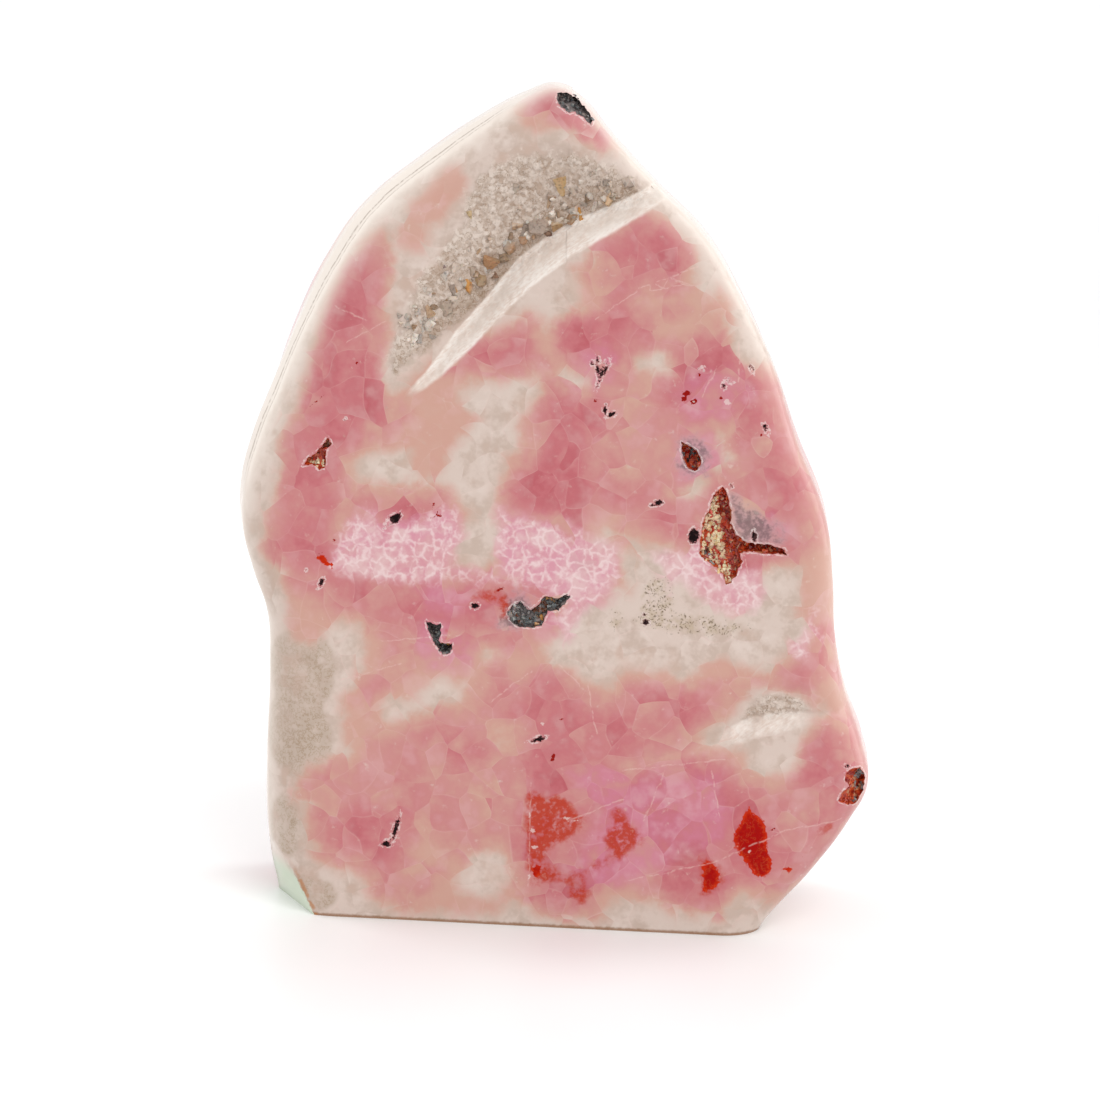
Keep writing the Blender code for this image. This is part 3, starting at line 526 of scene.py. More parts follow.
# Where the cream is speckled, and where it is stained ochre.
SPECKLED = (
    (17.6, 60.2, 3.0, 4.6, -10), (18.4, 59.4, 2.2, 2.2, 0),
    (24.0, 56.6, 9.5, 1.6, -2), (10.3, 57.2, 1.2, 1.8, 0),
)
OCHRE_PATCHES = (
    (-46.0, 33.0, 6.4, 8.5, 8), (-45.5, 45.0, 6.4, 8.0, 0),
    (-44.0, 4.0, 5.6, 3.6, 0), (-48.0, 16.0, 3.4, 6.0, 0),
)
WHITE_FLECKS = (
    (-4.0, 20.6, 0.2, 0.6, 0), (-3.4, 17.8, 0.5, 0.45, 0), (-3.0, 14.8, 0.6, 0.4, 0),
    (-3.8, 9.2, 0.3, 0.6, 0), (2.6, 20.4, 0.7, 0.3, 0),
    (28.8, 96.0, 0.7, 0.6, 0), (22.9, 95.9, 0.30, 0.20, 15), (35.4, 15.8, 0.5, 0.25, 40),
    (-2.2, 37.5, 0.35, 0.3, 0), (-43.0, 81.9, 0.9, 0.6, 10), (4.2, 20.0, 1.2, 0.16, 6),
)

SMALL_MARKS = DARK_MARKS + RUST_MARKS + WHITE_FLECKS

# How far in mm from its outline a zone is still told apart, and how far from its middle a line is.
ZONE_REACH = 6.0
LINE_REACH = 3.0
# Faces are made finer within this distance of a small mark.
MARK_MARGIN = 0.7
GRIT_SIZE, GRIT_HEIGHT = 0.8, 0.34
# Edges that turn less than this are shaded smooth.
SMOOTH_UNDER = math.radians(42.0)
# A pit's rim: how far apart its points are, and how far each may be off. A pit's walls: the size
# and the height of their unevenness. ABOVE_FACE is how far in front of the face its cutter starts.
RIM_STEP, RIM_RAGGED = 0.38, 0.16
WALL_GRAIN, WALL_ROUGH = 0.9, 0.35
ABOVE_FACE = 2.0

# ---------------------------------------------------------------- making shapes


def only(obj):
    bpy.ops.object.select_all(action="DESELECT")
    obj.select_set(True)
    bpy.context.view_layer.objects.active = obj


def finish_with(obj, kind, **settings):
    """Adds a modifier to a piece and applies it."""
    only(obj)
    modifier = obj.modifiers.new(kind.lower(), kind)
    modifier.show_viewport = False
    for name, value in settings.items():
        setattr(modifier, name, value)
    bpy.ops.object.modifier_apply(modifier=modifier.name)


def edit(obj, *steps, everything=True):
    """Runs edit-mode operators, each given with its settings, on the whole piece or on what is
    selected."""
    only(obj)
    bpy.ops.object.mode_set(mode="EDIT")
    if everything:
        bpy.ops.mesh.select_all(action="SELECT")
    for operator, settings in steps:
        operator(**settings)
    bpy.ops.object.mode_set(mode="OBJECT")


def in_mm(collection, name):
    """A place in mm for each of a mesh's points or faces, one row each."""
    flat = np.empty(len(collection) * 3)
    collection.foreach_get(name, flat)
    return flat.reshape(-1, 3) / MM


def points_of(obj):
    return in_mm(obj.data.vertices, "co")


def move_points(obj, points):
    obj.data.vertices.foreach_set("co", (points * MM).ravel())
    obj.data.update()


def smooth(t):
    t = np.clip(t, 0.0, 1.0)
    return t * t * (3.0 - 2.0 * t)


def slab(name, curve_steps, round_steps):
    """The outline as a thick slab with round edges, standing in the XZ plane."""
    bpy.ops.curve.primitive_bezier_circle_add()
    obj = bpy.context.object
    obj.name = name
    curve = obj.data
    curve.splines.clear()
    curve.dimensions = "2D"
    curve.fill_mode = "BOTH"
    curve.resolution_u = curve_steps
    curve.extrude = (HALF_DEPTH - EDGE_ROUND) * MM
    curve.bevel_depth = EDGE_ROUND * MM
    curve.bevel_resolution = round_steps
    curve.offset = -EDGE_ROUND * MM
    spline = curve.splines.new("BEZIER")
    spline.bezier_points.add(len(OUTLINE) - 1)
    for point, (x, z) in zip(spline.bezier_points, OUTLINE):
        point.co = (x * MM, z * MM, 0.0)
        point.handle_left_type = point.handle_right_type = "AUTO"
    spline.use_cyclic_u = True
    obj.rotation_euler = (math.radians(90.0), 0.0, 0.0)
    only(obj)
    bpy.ops.object.convert(target="MESH")
    bpy.ops.object.transform_apply(location=True, rotation=True, scale=True)
    edit(
        obj,
        (bpy.ops.mesh.remove_doubles, {"threshold": 0.01 * MM}),
        (bpy.ops.mesh.normals_make_consistent, {"inside": False}),
    )
    return obj


def front_depth(x, z):
    taper = FRONT_TAPER * (z / HEIGHT) ** 2
    left_fall = LEFT_FALL * np.clip((LEFT_FALL_FROM - x) / LEFT_FALL_OVER, 0.0, 1.0) ** 2
    left_fall = left_fall * np.clip(1.0 - z / LEFT_FALL_TOP, 0.0, 1.0)
    return FRONT_AT_BASE + FRONT_SKEW * x - taper - left_fall


def back_depth(x, z):
    return BACK_AT_BASE - BACK_SKEW * x - BACK_TAPER * (z / HEIGHT) ** 2


def ledge(x, z, start, angle, rows, grainy):
    """How deep a stepped ledge is sunk, how much of a point is on its wall, and how far it is
    from the foot: a wall drops from the crest to the foot, and the facet beyond the foot rises
    back to the polished face at its far edge. The wall is grainy between two places along it."""
    along = (x - start[0]) * math.cos(angle) + (z - start[1]) * math.sin(angle)
    across = (z - start[1]) * math.cos(angle) - (x - start[0]) * math.sin(angle)
    table = np.array(rows)
    crest, foot, far, depth = (np.interp(along, table[:, 0], table[:, i]) for i in range(1, 5))
    down = np.clip((across - crest) / np.maximum(foot - crest, 0.1), 0.0, 1.0)
    wall = 0.55 * smooth(down) + 0.45 * down
    facet = np.clip((far - across) / np.maximum(far - foot, 0.1), 0.0, 1.0)
    sunk = depth * np.where(across < foot, wall, facet)
    on_wall = smooth((across - crest + 0.9) / 1.8) * smooth((foot + 0.9 - across) / 1.2)
    on_wall = on_wall * smooth((along + 2.0) / 6.0)
    on_wall *= 0.35 + 0.65 * smooth((along - grainy[0]) / 6.0) * smooth((grainy[1] - along) / 5.0)
    return sunk, on_wall, across - foot


def ledges(x, z):
    upper = ledge(x, z, UPPER_LEDGE_START, UPPER_LEDGE_ANGLE, UPPER_LEDGE, (-2.0, 90.0))
    lower = ledge(x, z, LOWER_LEDGE_START, LOWER_LEDGE_ANGLE, LOWER_LEDGE, (17.0, 38.0))
    return upper[0] + lower[0], np.maximum(upper[1], lower[1]), upper[2]


def inside(points, outline):
    """Distance in mm from points (x, z) to a closed outline, positive inside it."""
    x, z = points
    nearest = np.full(len(x), np.inf)
    within = np.zeros(len(x), bool)
    for (ax, az), (bx, bz) in zip(outline, outline[1:] + outline[:1]):
        length = (bx - ax) ** 2 + (bz - az) ** 2
        t = np.clip(((x - ax) * (bx - ax) + (z - az) * (bz - az)) / length, 0.0, 1.0)
        nearest = np.minimum(nearest, (x - ax - t * (bx - ax)) ** 2 + (z - az - t * (bz - az)) ** 2)
        if az != bz:
            within ^= ((az > z) != (bz > z)) & (x < (bx - ax) * (z - az) / (bz - az) + ax)
    return np.where(within, 1.0, -1.0) * np.sqrt(nearest)


def inside_any(points, outlines):
    return np.max([inside(points, outline) for outline in outlines], axis=0)


def zone(points, outlines, holes=()):
    """How far in mm points (x, z) lie inside the outlines and outside the holes."""
    found = inside_any(points, outlines)
    for hole in holes:
        found = np.minimum(found, -inside(points, hole))
    return np.clip(found, -ZONE_REACH, ZONE_REACH)


def turned(points, at_x, at_z, degrees):
    """Points (x, z) as seen from a place, along and across a line at this turn."""
    x, z = points
    c, s = math.cos(math.radians(degrees)), math.sin(math.radians(degrees))
    return (x - at_x) * c + (z - at_z) * s, (z - at_z) * c - (x - at_x) * s


def marks(points, rows):
    """How far in mm points (x, z) lie inside the small ellipses of the rows, negative outside."""
    found = np.full(len(points[0]), -1.0)
    for at_x, at_z, half_width, half_height, turn in rows:
        along, across = turned(points, at_x, at_z, turn)
        away = np.hypot(along / half_width, across / half_height)
        found = np.maximum(found, (1.0 - away) * min(half_width, half_height))
    return found


def lines(points, rows):
    """Signed distance in mm across the nearest of the lines, and the plain distance to it."""
    nearest, across = (np.full(len(points[0]), LINE_REACH) for _ in range(2))
    for at_x, at_z, half, turn in rows:
        u, v = turned(points, at_x, at_z, turn)
        away = np.hypot(v, np.maximum(np.abs(u) - half, 0.0))
        across = np.where(away < nearest, v, across)
        nearest = np.minimum(nearest, away)
    return across, nearest


def shape(x, y, z):
    """Moves the even slab's points to the stone's own faces. It also says how far each is from the
    middle, -1 at the front and 1 at the back, and how much of it is on the ground edge."""
    side = np.clip(y / HALF_DEPTH, -1.0, 1.0)
    depth = np.where(side < 0.0, front_depth(x, z), back_depth(x, z))
    from_middle = smooth(np.hypot(x / DOME_WIDTH, (z - DOME_MIDDLE) / DOME_HEIGHT))
    depth = depth - np.where(side < 0.0, FRONT_DOME, BACK_DOME) * from_middle
    y = depth * side + ledges(x, z)[0] * smooth((-side - 0.25) / 0.6)
    ground = smooth((z - GROUND_FROM) / GROUND_OVER) * smooth((GROUND_RIGHT - x) / GROUND_ACROSS)
    lean = ground * (EDGE_LEAN * (1.0 - side) / 2.0 + EDGE_FLAT * np.maximum(-side - EDGE_LINE, 0.0))
    wave = WALL_WAVE * np.sin(z / 9.0 + y / 6.0) * np.sin(y / 11.0 + 1.0) * smooth((np.abs(x) - 20.0) / 20.0)
    x = x * (1.0 - WALL_BULGE * side * side) + 0.85 * lean + np.sign(x) * (wave - WALL_WAVE * 0.5)
    z = z * (1.0 - WALL_BULGE * 0.4 * side * side) - 0.5 * lean
    return np.stack((x, y, z), axis=1), side, ground


def subdivide_where(obj, chosen, cuts):
    """Cuts only the chosen faces finer."""
    clear = {"action": "DESELECT"}
    edit(obj, (bpy.ops.mesh.select_all, clear), (bpy.ops.mesh.select_mode, {"type": "FACE"}))
    obj.data.polygons.foreach_set("select", chosen)
    obj.data.update()
    edit(obj, (bpy.ops.mesh.subdivide, {"number_cuts": cuts}), everything=False)


def cut_away(obj, point, normal):
    """Cuts away what lies on the side that normal points to, and closes the cut."""
    cut = {"plane_co": Vector(point) * MM, "plane_no": normal, "use_fill": True, "clear_outer": True}
    edit(obj, (bpy.ops.mesh.bisect, cut))


def roughen(points, size, height, seed):
    """Uneven height in mm at each point, from noise of about this size."""
    shift = Vector((seed * 17.0, seed * 5.0, seed * 3.0))
    return np.array([height * noise.fractal(Vector(p) / size + shift, 1.0, 2.0, 3) for p in points])


def rim_points(rim, step, ragged, seed):
    """A pit's rim with points at every step, and uneven as a broken edge is."""
    points = []
    for (ax, az), (bx, bz) in zip(rim, rim[1:] + rim[:1]):
        count = max(1, round(math.hypot(bx - ax, bz - az) / step))
        points += [(ax + (bx - ax) * i / count, az + (bz - az) * i / count) for i in range(count)]
    rng = random.Random(seed)
    return [(x + rng.uniform(-ragged, ragged), z + rng.uniform(-ragged, ragged)) for x, z in points]


def surface_of(obj):
    bpy.context.view_layer.update()
    return BVHTree.FromObject(obj, bpy.context.evaluated_depsgraph_get())


def front_at(surface, x, z):
    """The y of the stone's front at x, z, or None beside the stone."""
    hit = surface.ray_cast(Vector((x, -60.0, z)) * MM, Vector((0.0, 1.0, 0.0)))[0]
    return hit.y / MM if hit else None


def pit_cutter(name, rim, depth, surface, lining, seed):
    """A ragged plug with the pit's rim, a little narrower at its floor."""
    points = rim_points(rim, RIM_STEP, RIM_RAGGED, seed)
    count = len(points)
    middle_x, middle_z = np.mean(points, axis=0)
    bpy.ops.mesh.primitive_circle_add(vertices=count, fill_type="NGON")
    obj = bpy.context.object
    obj.name = name
    front = [front_at(surface, x, z) for x, z in points]
    known = np.mean([y for y in front if y is not None])
    front = [known if y is None else y for y in front]
    move_points(obj, np.array([(x, y - ABOVE_FACE, z) for (x, z), y in zip(points, front)]))
    down = ((ABOVE_FACE, 1.0), (0.35 * depth, 0.97), (0.35 * depth, 0.88), (0.3 * depth, 0.7))
    for reach, share in down:
        onward = {"TRANSFORM_OT_translate": {"value": (0.0, reach * MM, 0.0)}}
        first = len(obj.data.vertices) == count
        edit(obj, (bpy.ops.mesh.extrude_region_move, onward), everything=first)
        moved = points_of(obj)
        ends = np.array([v.select for v in obj.data.vertices])
        moved[ends, 0] = middle_x + (moved[ends, 0] - middle_x) * share
        moved[ends, 2] = middle_z + (moved[ends, 2] - middle_z) * share
        move_points(obj, moved)
    deep = points_of(obj)
    rough = roughen(deep, WALL_GRAIN, WALL_ROUGH, seed)
    below = np.arange(len(deep)) >= 2 * count
    deep[below] += np.stack((rough, 0.6 * rough, -rough), axis=1)[below]
    move_points(obj, deep)
    edit(
        obj,
        (bpy.ops.mesh.quads_convert_to_tris, {}),
        (bpy.ops.mesh.normals_make_consistent, {"inside": False}),
    )
    obj.data.materials.clear()
    obj.data.materials.append(lining)
    return obj


def pointwise(obj, name, *three):
    """Keeps three numbers at each point of a piece for its finish to read."""
    layer = obj.data.attributes.new(name, "FLOAT_VECTOR", "POINT")
    layer.data.foreach_set("vector", np.stack(three, axis=1).astype(np.float32).ravel())


# ---------------------------------------------------------------- finishes

# How much of the light that falls on the stone a painted colour gives back, so that colours can be
# written as they look when lit.
LIT = 0.855


def screen(red, green, blue):
    """A colour as it looks on the lit stone, 0 to 255, in the renderer's own numbers."""
    channels = [c / 255.0 for c in (red, green, blue)]
    linear = (c / 12.92 if c <= 0.04045 else ((c + 0.055) / 1.055) ** 2.4 for c in channels)
    return tuple(LIT * c for c in linear) + (1.0,)


# The ground of the stone, from cream to deep pink.
CREAM = screen(220, 201, 190)
CREAM_GREY = screen(204, 183, 170)
CREAM_PALE = screen(228, 211, 201)
CREAM_TAN = screen(206, 176, 160)
WARM_STOPS = (
    (0.0, screen(212, 189, 176)), (0.25, screen(212, 166, 151)), (0.5, screen(208, 146, 142)),
    (0.75, screen(202, 121, 126)), (1.0, screen(186, 84, 95)),
)
LILAC = screen(217, 142, 168)
PINK_CLOUD = screen(226, 188, 184)
SEAM = screen(232, 196, 190)
LACE_PINK = screen(224, 164, 178)
LACE_VEIL = screen(232, 204, 200)
LACE_THREAD = screen(244, 222, 221)
SMOKE_LIGHT, SMOKE_DARK = screen(198, 160, 164), screen(126, 104, 108)
# Stains.
STAIN_SOFT = screen(190, 56, 28)
STAIN_RED, STAIN_ORANGE = screen(168, 3, 0), screen(212, 50, 4)
STAIN_VEIN = screen(214, 110, 60)
# The unpolished ground and the walls of the ledges.
SUGAR_SHADE, SUGAR_WHITE = screen(190, 167, 150), screen(230, 214, 202)
SUGAR_BROWN = screen(150, 122, 94)
# Painted shade in the crevices between the crystals.
CREVICE_SHADE = screen(138, 108, 80)
# The walls' pale colours are partly a painted highlight; the dim colour is painted shade near the foot.
WALL_SHADE, WALL_WHITE = screen(238, 220, 208), screen(255, 246, 238)
WALL_FOOT_SHADE = screen(212, 190, 174)
# Specks, dust and small marks.
SPECK_HALO, SPECK = screen(186, 166, 138), screen(96, 80, 54)
DUST, GRIME = screen(184, 164, 146), screen(156, 128, 92)
FRACTURE = screen(232, 196, 188)
RUST_MARK = screen(150, 16, 8)
FLECK = screen(236, 216, 210)
# A pale ring round marks and pit rims, partly a chipped edge and partly a painted glint.
CHIPPED_GLINT = screen(240, 222, 218)
MARK_HALO = screen(122, 44, 48)
MARK_DARK, MARK_BROWN = screen(22, 6, 8), screen(70, 44, 44)
# The edges, the foot and the cut corner.
# The rim's pale colour is partly the ground edge's cream and partly a painted glow.
RIM = screen(246, 236, 226)
# Painted shade: the grey lines of the creases on the ground edge.
CREASE_SHADE = screen(164, 146, 130)
FOOT = screen(142, 96, 56)
CORNER_LINE = screen(186, 120, 62)
CORNER_MINT = screen(214, 224, 204)
# The linings of the pits, what darkens a crystal, and the gleam painted on it as a highlight.
LINING_COLOURS = {
    "rust": (screen(150, 22, 6), screen(208, 76, 26), screen(236, 186, 140)),
    "dark": (screen(52, 40, 40), screen(116, 106, 104), screen(186, 170, 162)),
}
CRYSTAL_SHADE, CRYSTAL_GLEAM = screen(60, 34, 22), screen(240, 226, 208)

# Widths of the cells in the stone, in mm.
GRAIN_WIDTH = 5.3
LACE_WIDTH = 2.1
SUGAR_WIDTH = 1.0
SPECK_WIDTH = 0.5
LINING_WIDTH = 0.7

# Where the two creases run on the ground edge, painted as grey lines of shade, from -1 at the front to 0 at
# the middle of the slab.
FIRST_CREASE = -0.6
SECOND_CREASE = -0.7


class Value:
    """A number, colour or place that varies over a surface. Arithmetic on it adds Math nodes."""

    def __init__(self, finish, socket):
        self.finish, self.socket = finish, socket

    def math(self, operation, *others):
        return self.finish.node("ShaderNodeMath", {"operation": operation}, dict(enumerate((self, *others))))

    def __add__(self, other):
        return self.math("ADD", other)

    def __sub__(self, other):
        return self.math("SUBTRACT", other)

    def __mul__(self, other):
        return self.math("MULTIPLY", other)

    def __rsub__(self, other):
        return self.finish.node("ShaderNodeMath", {"operation": "SUBTRACT"}, {0: other, 1: self})

    __radd__ = __add__
    __rmul__ = __mul__

    def size(self):
        return self.math("ABSOLUTE")

    def high(self, other):
        return self.math("MAXIMUM", other)

    def step(self, start, end):
        """0 below start, 1 above end, and smooth between them."""
        inputs = {"Value": self, "From Min": start, "From Max": end}
        return self.finish.node("ShaderNodeMapRange", {"interpolation_type": "SMOOTHSTEP"}, inputs)

    def near(self, place, core, reach):
        """1 within core of a value, 0 beyond reach."""
        return 1.0 - (self - place).size().step(core, reach)


class Finish:
    """A material, made node by node."""

    def __init__(self, name, roughness, **constants):
        self.material = bpy.data.materials.new(name)
        self.material.use_nodes = True
        self.tree = self.material.node_tree
        self.shader = self.tree.nodes["Principled BSDF"]
        self.shader.inputs["Roughness"].default_value = roughness
        for socket, value in constants.items():
            self.shader.inputs[socket.replace("_", " ")].default_value = value

    def node(self, kind, settings, inputs, output=0):
        made = self.tree.nodes.new(kind)
        for name, value in settings.items():
            if name == "stops":
                ramp = made.color_ramp.elements
                while len(ramp) < len(value):
                    ramp.new(1.0)
                for element, (position, colour) in zip(ramp, value):
                    element.position, element.color = position, colour
            else:
                setattr(made, name, value)
        for name, value in inputs.items():
            self.join(value, made.inputs[name])
        return Value(self, made.outputs[output])

    def join(self, value, socket):
        if isinstance(value, Value):
            self.tree.links.new(value.socket, socket)
        else:
            socket.default_value = value

    def set(self, name, value):
        self.join(value, self.shader.inputs[name])

    def place(self):
        """Where a point is on the piece, in mm."""
        return self.scaled(self.node("ShaderNodeTexCoord", {}, {}, "Object"), 1.0 / MM)

    def scaled(self, vector, scale):
        return self.node("ShaderNodeVectorMath", {"operation": "SCALE"}, {0: vector, "Scale": scale})

    def moved(self, place, drift, far):
        return self.node("ShaderNodeVectorMath", {"operation": "ADD"}, {0: place, 1: self.scaled(drift, far)})

    def dot(self, first, second):
        return self.node("ShaderNodeVectorMath", {"operation": "DOT_PRODUCT"}, {0: first, 1: second}, "Value")

    def parts(self, value):
        split = self.tree.nodes.new("ShaderNodeSeparateXYZ")
        self.join(value, split.inputs[0])
        return [Value(self, output) for output in split.outputs]

    def kept(self, name):
        """The three numbers that pointwise kept on the piece."""
        return self.parts(self.node("ShaderNodeAttribute", {"attribute_name": name}, {}, "Vector"))

    def mix(self, first, second, share, how="MIX"):
        settings = {"data_type": "RGBA", "blend_type": how}
        return self.node("ShaderNodeMix", settings, {0: share, 6: first, 7: second}, 2)

    def paint(self, colour, share):
        """Lays a colour over what is painted so far."""
        self.painted = self.mix(self.painted, colour, share)

    def noise(self, place, scale, detail=3.0, rough=0.55, output=0):
        inputs = {"Vector": place, "Scale": scale, "Detail": detail, "Roughness": rough}
        return self.node("ShaderNodeTexNoise", {}, inputs, output)

    def drift(self, place, scale, detail):
        """An uneven vector at every place, each part from about -1 to 1."""
        colour = self.noise(place, scale, detail, 0.6, 1)
        middle = {0: colour, 1: (0.5, 0.5, 0.5)}
        return self.scaled(self.node("ShaderNodeVectorMath", {"operation": "SUBTRACT"}, middle), 2.0)

    def cells(self, place, width):
        """Cells of this width in mm: how far a place is from its cell's middle, and the cell's three
        chance numbers as a vector."""
        inputs = {"Vector": place, "Scale": 1.0 / width}
        tint = self.node("ShaderNodeTexVoronoi", {}, inputs, "Color")
        return Value(self, tint.socket.node.outputs["Distance"]) * width, tint

    def seams(self, place, width):
        """Distance in mm to the nearest boundary between those cells."""
        inputs = {"Vector": place, "Scale": 1.0 / width}
        settings = {"feature": "DISTANCE_TO_EDGE"}
        return self.node("ShaderNodeTexVoronoi", settings, inputs, "Distance") * width

    def bump(self, height, strength, distance):
        inputs = {"Height": height, "Strength": strength, "Distance": distance * MM}
        self.set("Normal", self.node("ShaderNodeBump", {}, inputs))


def stone_finish():
    f = Finish("polished_stone", 0.16, IOR=1.5, Specular_IOR_Level=0.08)
    place = f.place()
    x, _, z = f.parts(place)
    rough = f.drift(place, 0.5, 2.0)
    astray = f.moved(place, f.drift(place, 0.09, 1.0), 3.0)
    cloud = f.noise(place, 0.16)
    mid = f.noise(place, 0.5)
    fine = f.noise(place, 1.3, 4.0)
    even = mid * 0.5 + fine * 0.5
    peach_in, rose_in, deep_in = f.kept("tone")
    lace_in, lilac_in, smoke_in = f.kept("accent")
    druse_in, wall_in, ground = f.kept("relief")
    bright_in, soft_in, side = f.kept("stain")
    low_crevices, speckled, ochre = f.kept("mottle")
    across_line, line_away, from_rim = f.kept("fractures")
    dark_in, rust_in, fleck_in = f.kept("small_marks")

    # grains near the surface, each with its own clouds inside
    _, grain_tint = f.cells(astray, GRAIN_WIDTH)
    first, second, third = f.parts(grain_tint)
    inner = f.noise(f.moved(place, grain_tint, 30.0), 0.2)
    jitter = (first - 0.5) * 2.0 + (cloud - 0.5) * 4.0 + (mid - 0.5) * 2.6
    peach = (peach_in + jitter + 0.3).step(-1.9, 2.0)
    rose = (rose_in + jitter).step(-2.0, 2.2)
    deep = (deep_in + jitter).step(-2.4, 2.6)
    uneven = (second - 0.5) * 1.2 + (inner - 0.5) * 4.0 + (cloud - 0.5) * 0.8
    tone = peach + rose + deep + uneven * (0.15 + rose * 0.85)
    warm = f.node("ShaderNodeValToRGB", {"stops": WARM_STOPS}, {"Fac": tone * 0.25})
    f.painted = f.mix(CREAM_GREY, CREAM, (cloud + (inner - 0.5) * 0.7 + (fine - 0.5) * 0.3).step(0.34, 0.58))
    f.paint(CREAM_PALE, (mid * 0.6 + inner * 0.4 + (third - 0.5) * 0.1).step(0.48, 0.68) * 0.7)
    f.paint(CREAM_TAN, (1.0 - cloud + (second - 0.5) * 0.2).step(0.56, 0.72) * 0.5)
    f.paint(warm, peach)
    f.paint(LILAC, (lilac_in + jitter).step(-1.6, 2.4) * inner.step(0.3, 0.6) * 0.6)
    f.paint(PINK_CLOUD, (inner * 0.7 + cloud * 0.3).step(0.48, 0.66) * peach * 0.42)

    # pale seams between the grains
    seam = 1.0 - f.seams(astray, GRAIN_WIDTH).step(0.01, 0.16)
    f.paint(SEAM, seam * (mid + (third - 0.5) * 0.6).step(0.44, 0.7) * 0.16)

    # white lace round small cells
    lace = (lace_in + jitter * 0.8).step(-1.2, 1.8)
    veil = (cloud * 0.4 + mid * 0.4 + inner * 0.2).step(0.44, 0.6)
    thread = 1.0 - f.seams(f.moved(place, rough, 0.9), LACE_WIDTH).step(0.02, 0.38)
    f.paint(LACE_PINK, lace * 0.65)
    f.paint(LACE_VEIL, lace * veil * 0.62)
    f.paint(LACE_THREAD, lace * thread * even.step(0.36, 0.56) * 0.62)

    # smoky halos
    smoke = (smoke_in + (mid - 0.5) * 5.0 + (fine - 0.5) * 1.4).step(-2.8, 2.2)
    smoky = f.mix(SMOKE_LIGHT, SMOKE_DARK, (smoke + (fine - 0.5) * 1.2).step(0.4, 1.1))
    f.paint(smoky, smoke.step(0.1, 0.9) * 0.84)

    # rust stains
    soft = (soft_in + (mid - 0.5) * 3.4 + (fine - 0.5) * 0.8).step(-0.6, 1.0) * even.step(0.31, 0.53)
    f.paint(STAIN_SOFT, soft * 0.9)
    edge = (0.9 - bright_in + (mid - 0.5) * 1.6).step(-0.2, 0.9)
    rusty = f.mix(STAIN_RED, STAIN_ORANGE, edge * 0.6 + (fine - 0.5) * 1.2)
    bright = (bright_in + (fine - 0.5) * 1.8).step(-0.16, 0.12)
    f.paint(rusty, bright)
    f.paint(STAIN_VEIN, bright * mid.near(0.5, 0.0, 0.03) * 0.2)

    # unpolished crystal ground on the ledges
    druse = (druse_in + (mid - 0.5) * 1.5 + (fine - 0.5) * 0.7).step(0.2, 0.8)
    shade, tilt, _ = f.parts(f.cells(f.moved(place, rough, 1.6), SUGAR_WIDTH)[1])
    sugar = shade * 0.3 + mid * 0.5 + fine * 0.7 + cloud * 0.3
    crystals = f.mix(SUGAR_SHADE, SUGAR_WHITE, sugar.step(0.64, 1.12))
    crystals = f.mix(crystals, SUGAR_BROWN, low_crevices * even.step(0.4, 0.6) * 0.6)
    # thin brown lines between the crystals: painted shade in their gaps
    crevice_shade = fine.near(0.47, 0.0, 0.045) * (low_crevices * 0.4 + mid * 0.9 + tilt * 0.3).step(0.42, 0.82)
    crystals = f.mix(crystals, CREVICE_SHADE, crevice_shade * 0.66)
    f.paint(crystals, druse)

    # the ledges' walls, streaked along the upper one: painted pale, partly their own cream and partly a
    # painted highlight, and dimmer with painted shade near the foot under its bright top edge
    along = {"Vector": place, "Rotation": (0.0, -UPPER_LEDGE_ANGLE, 0.0), "Scale": (1.8, 1.0, 0.6)}
    streak = f.noise(f.node("ShaderNodeMapping", {"vector_type": "TEXTURE"}, along), 1.8, 2.0)
    wall_highlight = f.mix(WALL_SHADE, WALL_WHITE, (streak * 0.5 + cloud * 0.5).step(0.38, 0.6))
    foot_shade = low_crevices.step(0.08, 0.3) * (1.0 - low_crevices.step(0.52, 0.72))
    wall_highlight = f.mix(wall_highlight, WALL_FOOT_SHADE, foot_shade * (streak * 0.4 + mid * 0.6).step(0.4, 0.58) * 0.44)
    wall = (wall_in + (mid - 0.5) * 0.5).step(0.1, 0.72)
    f.paint(wall_highlight, wall * 0.94)

    # dark specks and ochre dust in the cream
    far, pick = f.cells(f.moved(place, rough, 1.6), SPECK_WIDTH)
    pick = f.parts(pick)[0]
    speck = (1.0 - far.step(0.04, 0.26)) * (pick * 0.6 + speckled * 0.7 + (mid - 0.5) * 2.4).step(0.6, 0.9)
    f.paint(SPECK_HALO, speckled.step(0.1, 1.0) * (mid * 0.6 + fine * 0.4).step(0.4, 0.6) * 0.6)
    f.paint(SPECK, speck * speckled.step(0.0, 0.5) * 0.85)
    dusty = (ochre + (cloud - 0.5) * 4.0 + (mid - 0.5) * 2.0).step(-0.3, 1.7)
    dusty = dusty * ochre.step(0.0, 0.9) * (1.0 - peach)
    f.paint(DUST, dusty * 0.7)
    f.paint(GRIME, dusty * fine.near(0.45, 0.0, 0.06) * (mid * 0.5 + ochre * 0.5).step(0.5, 0.75) * 0.5)

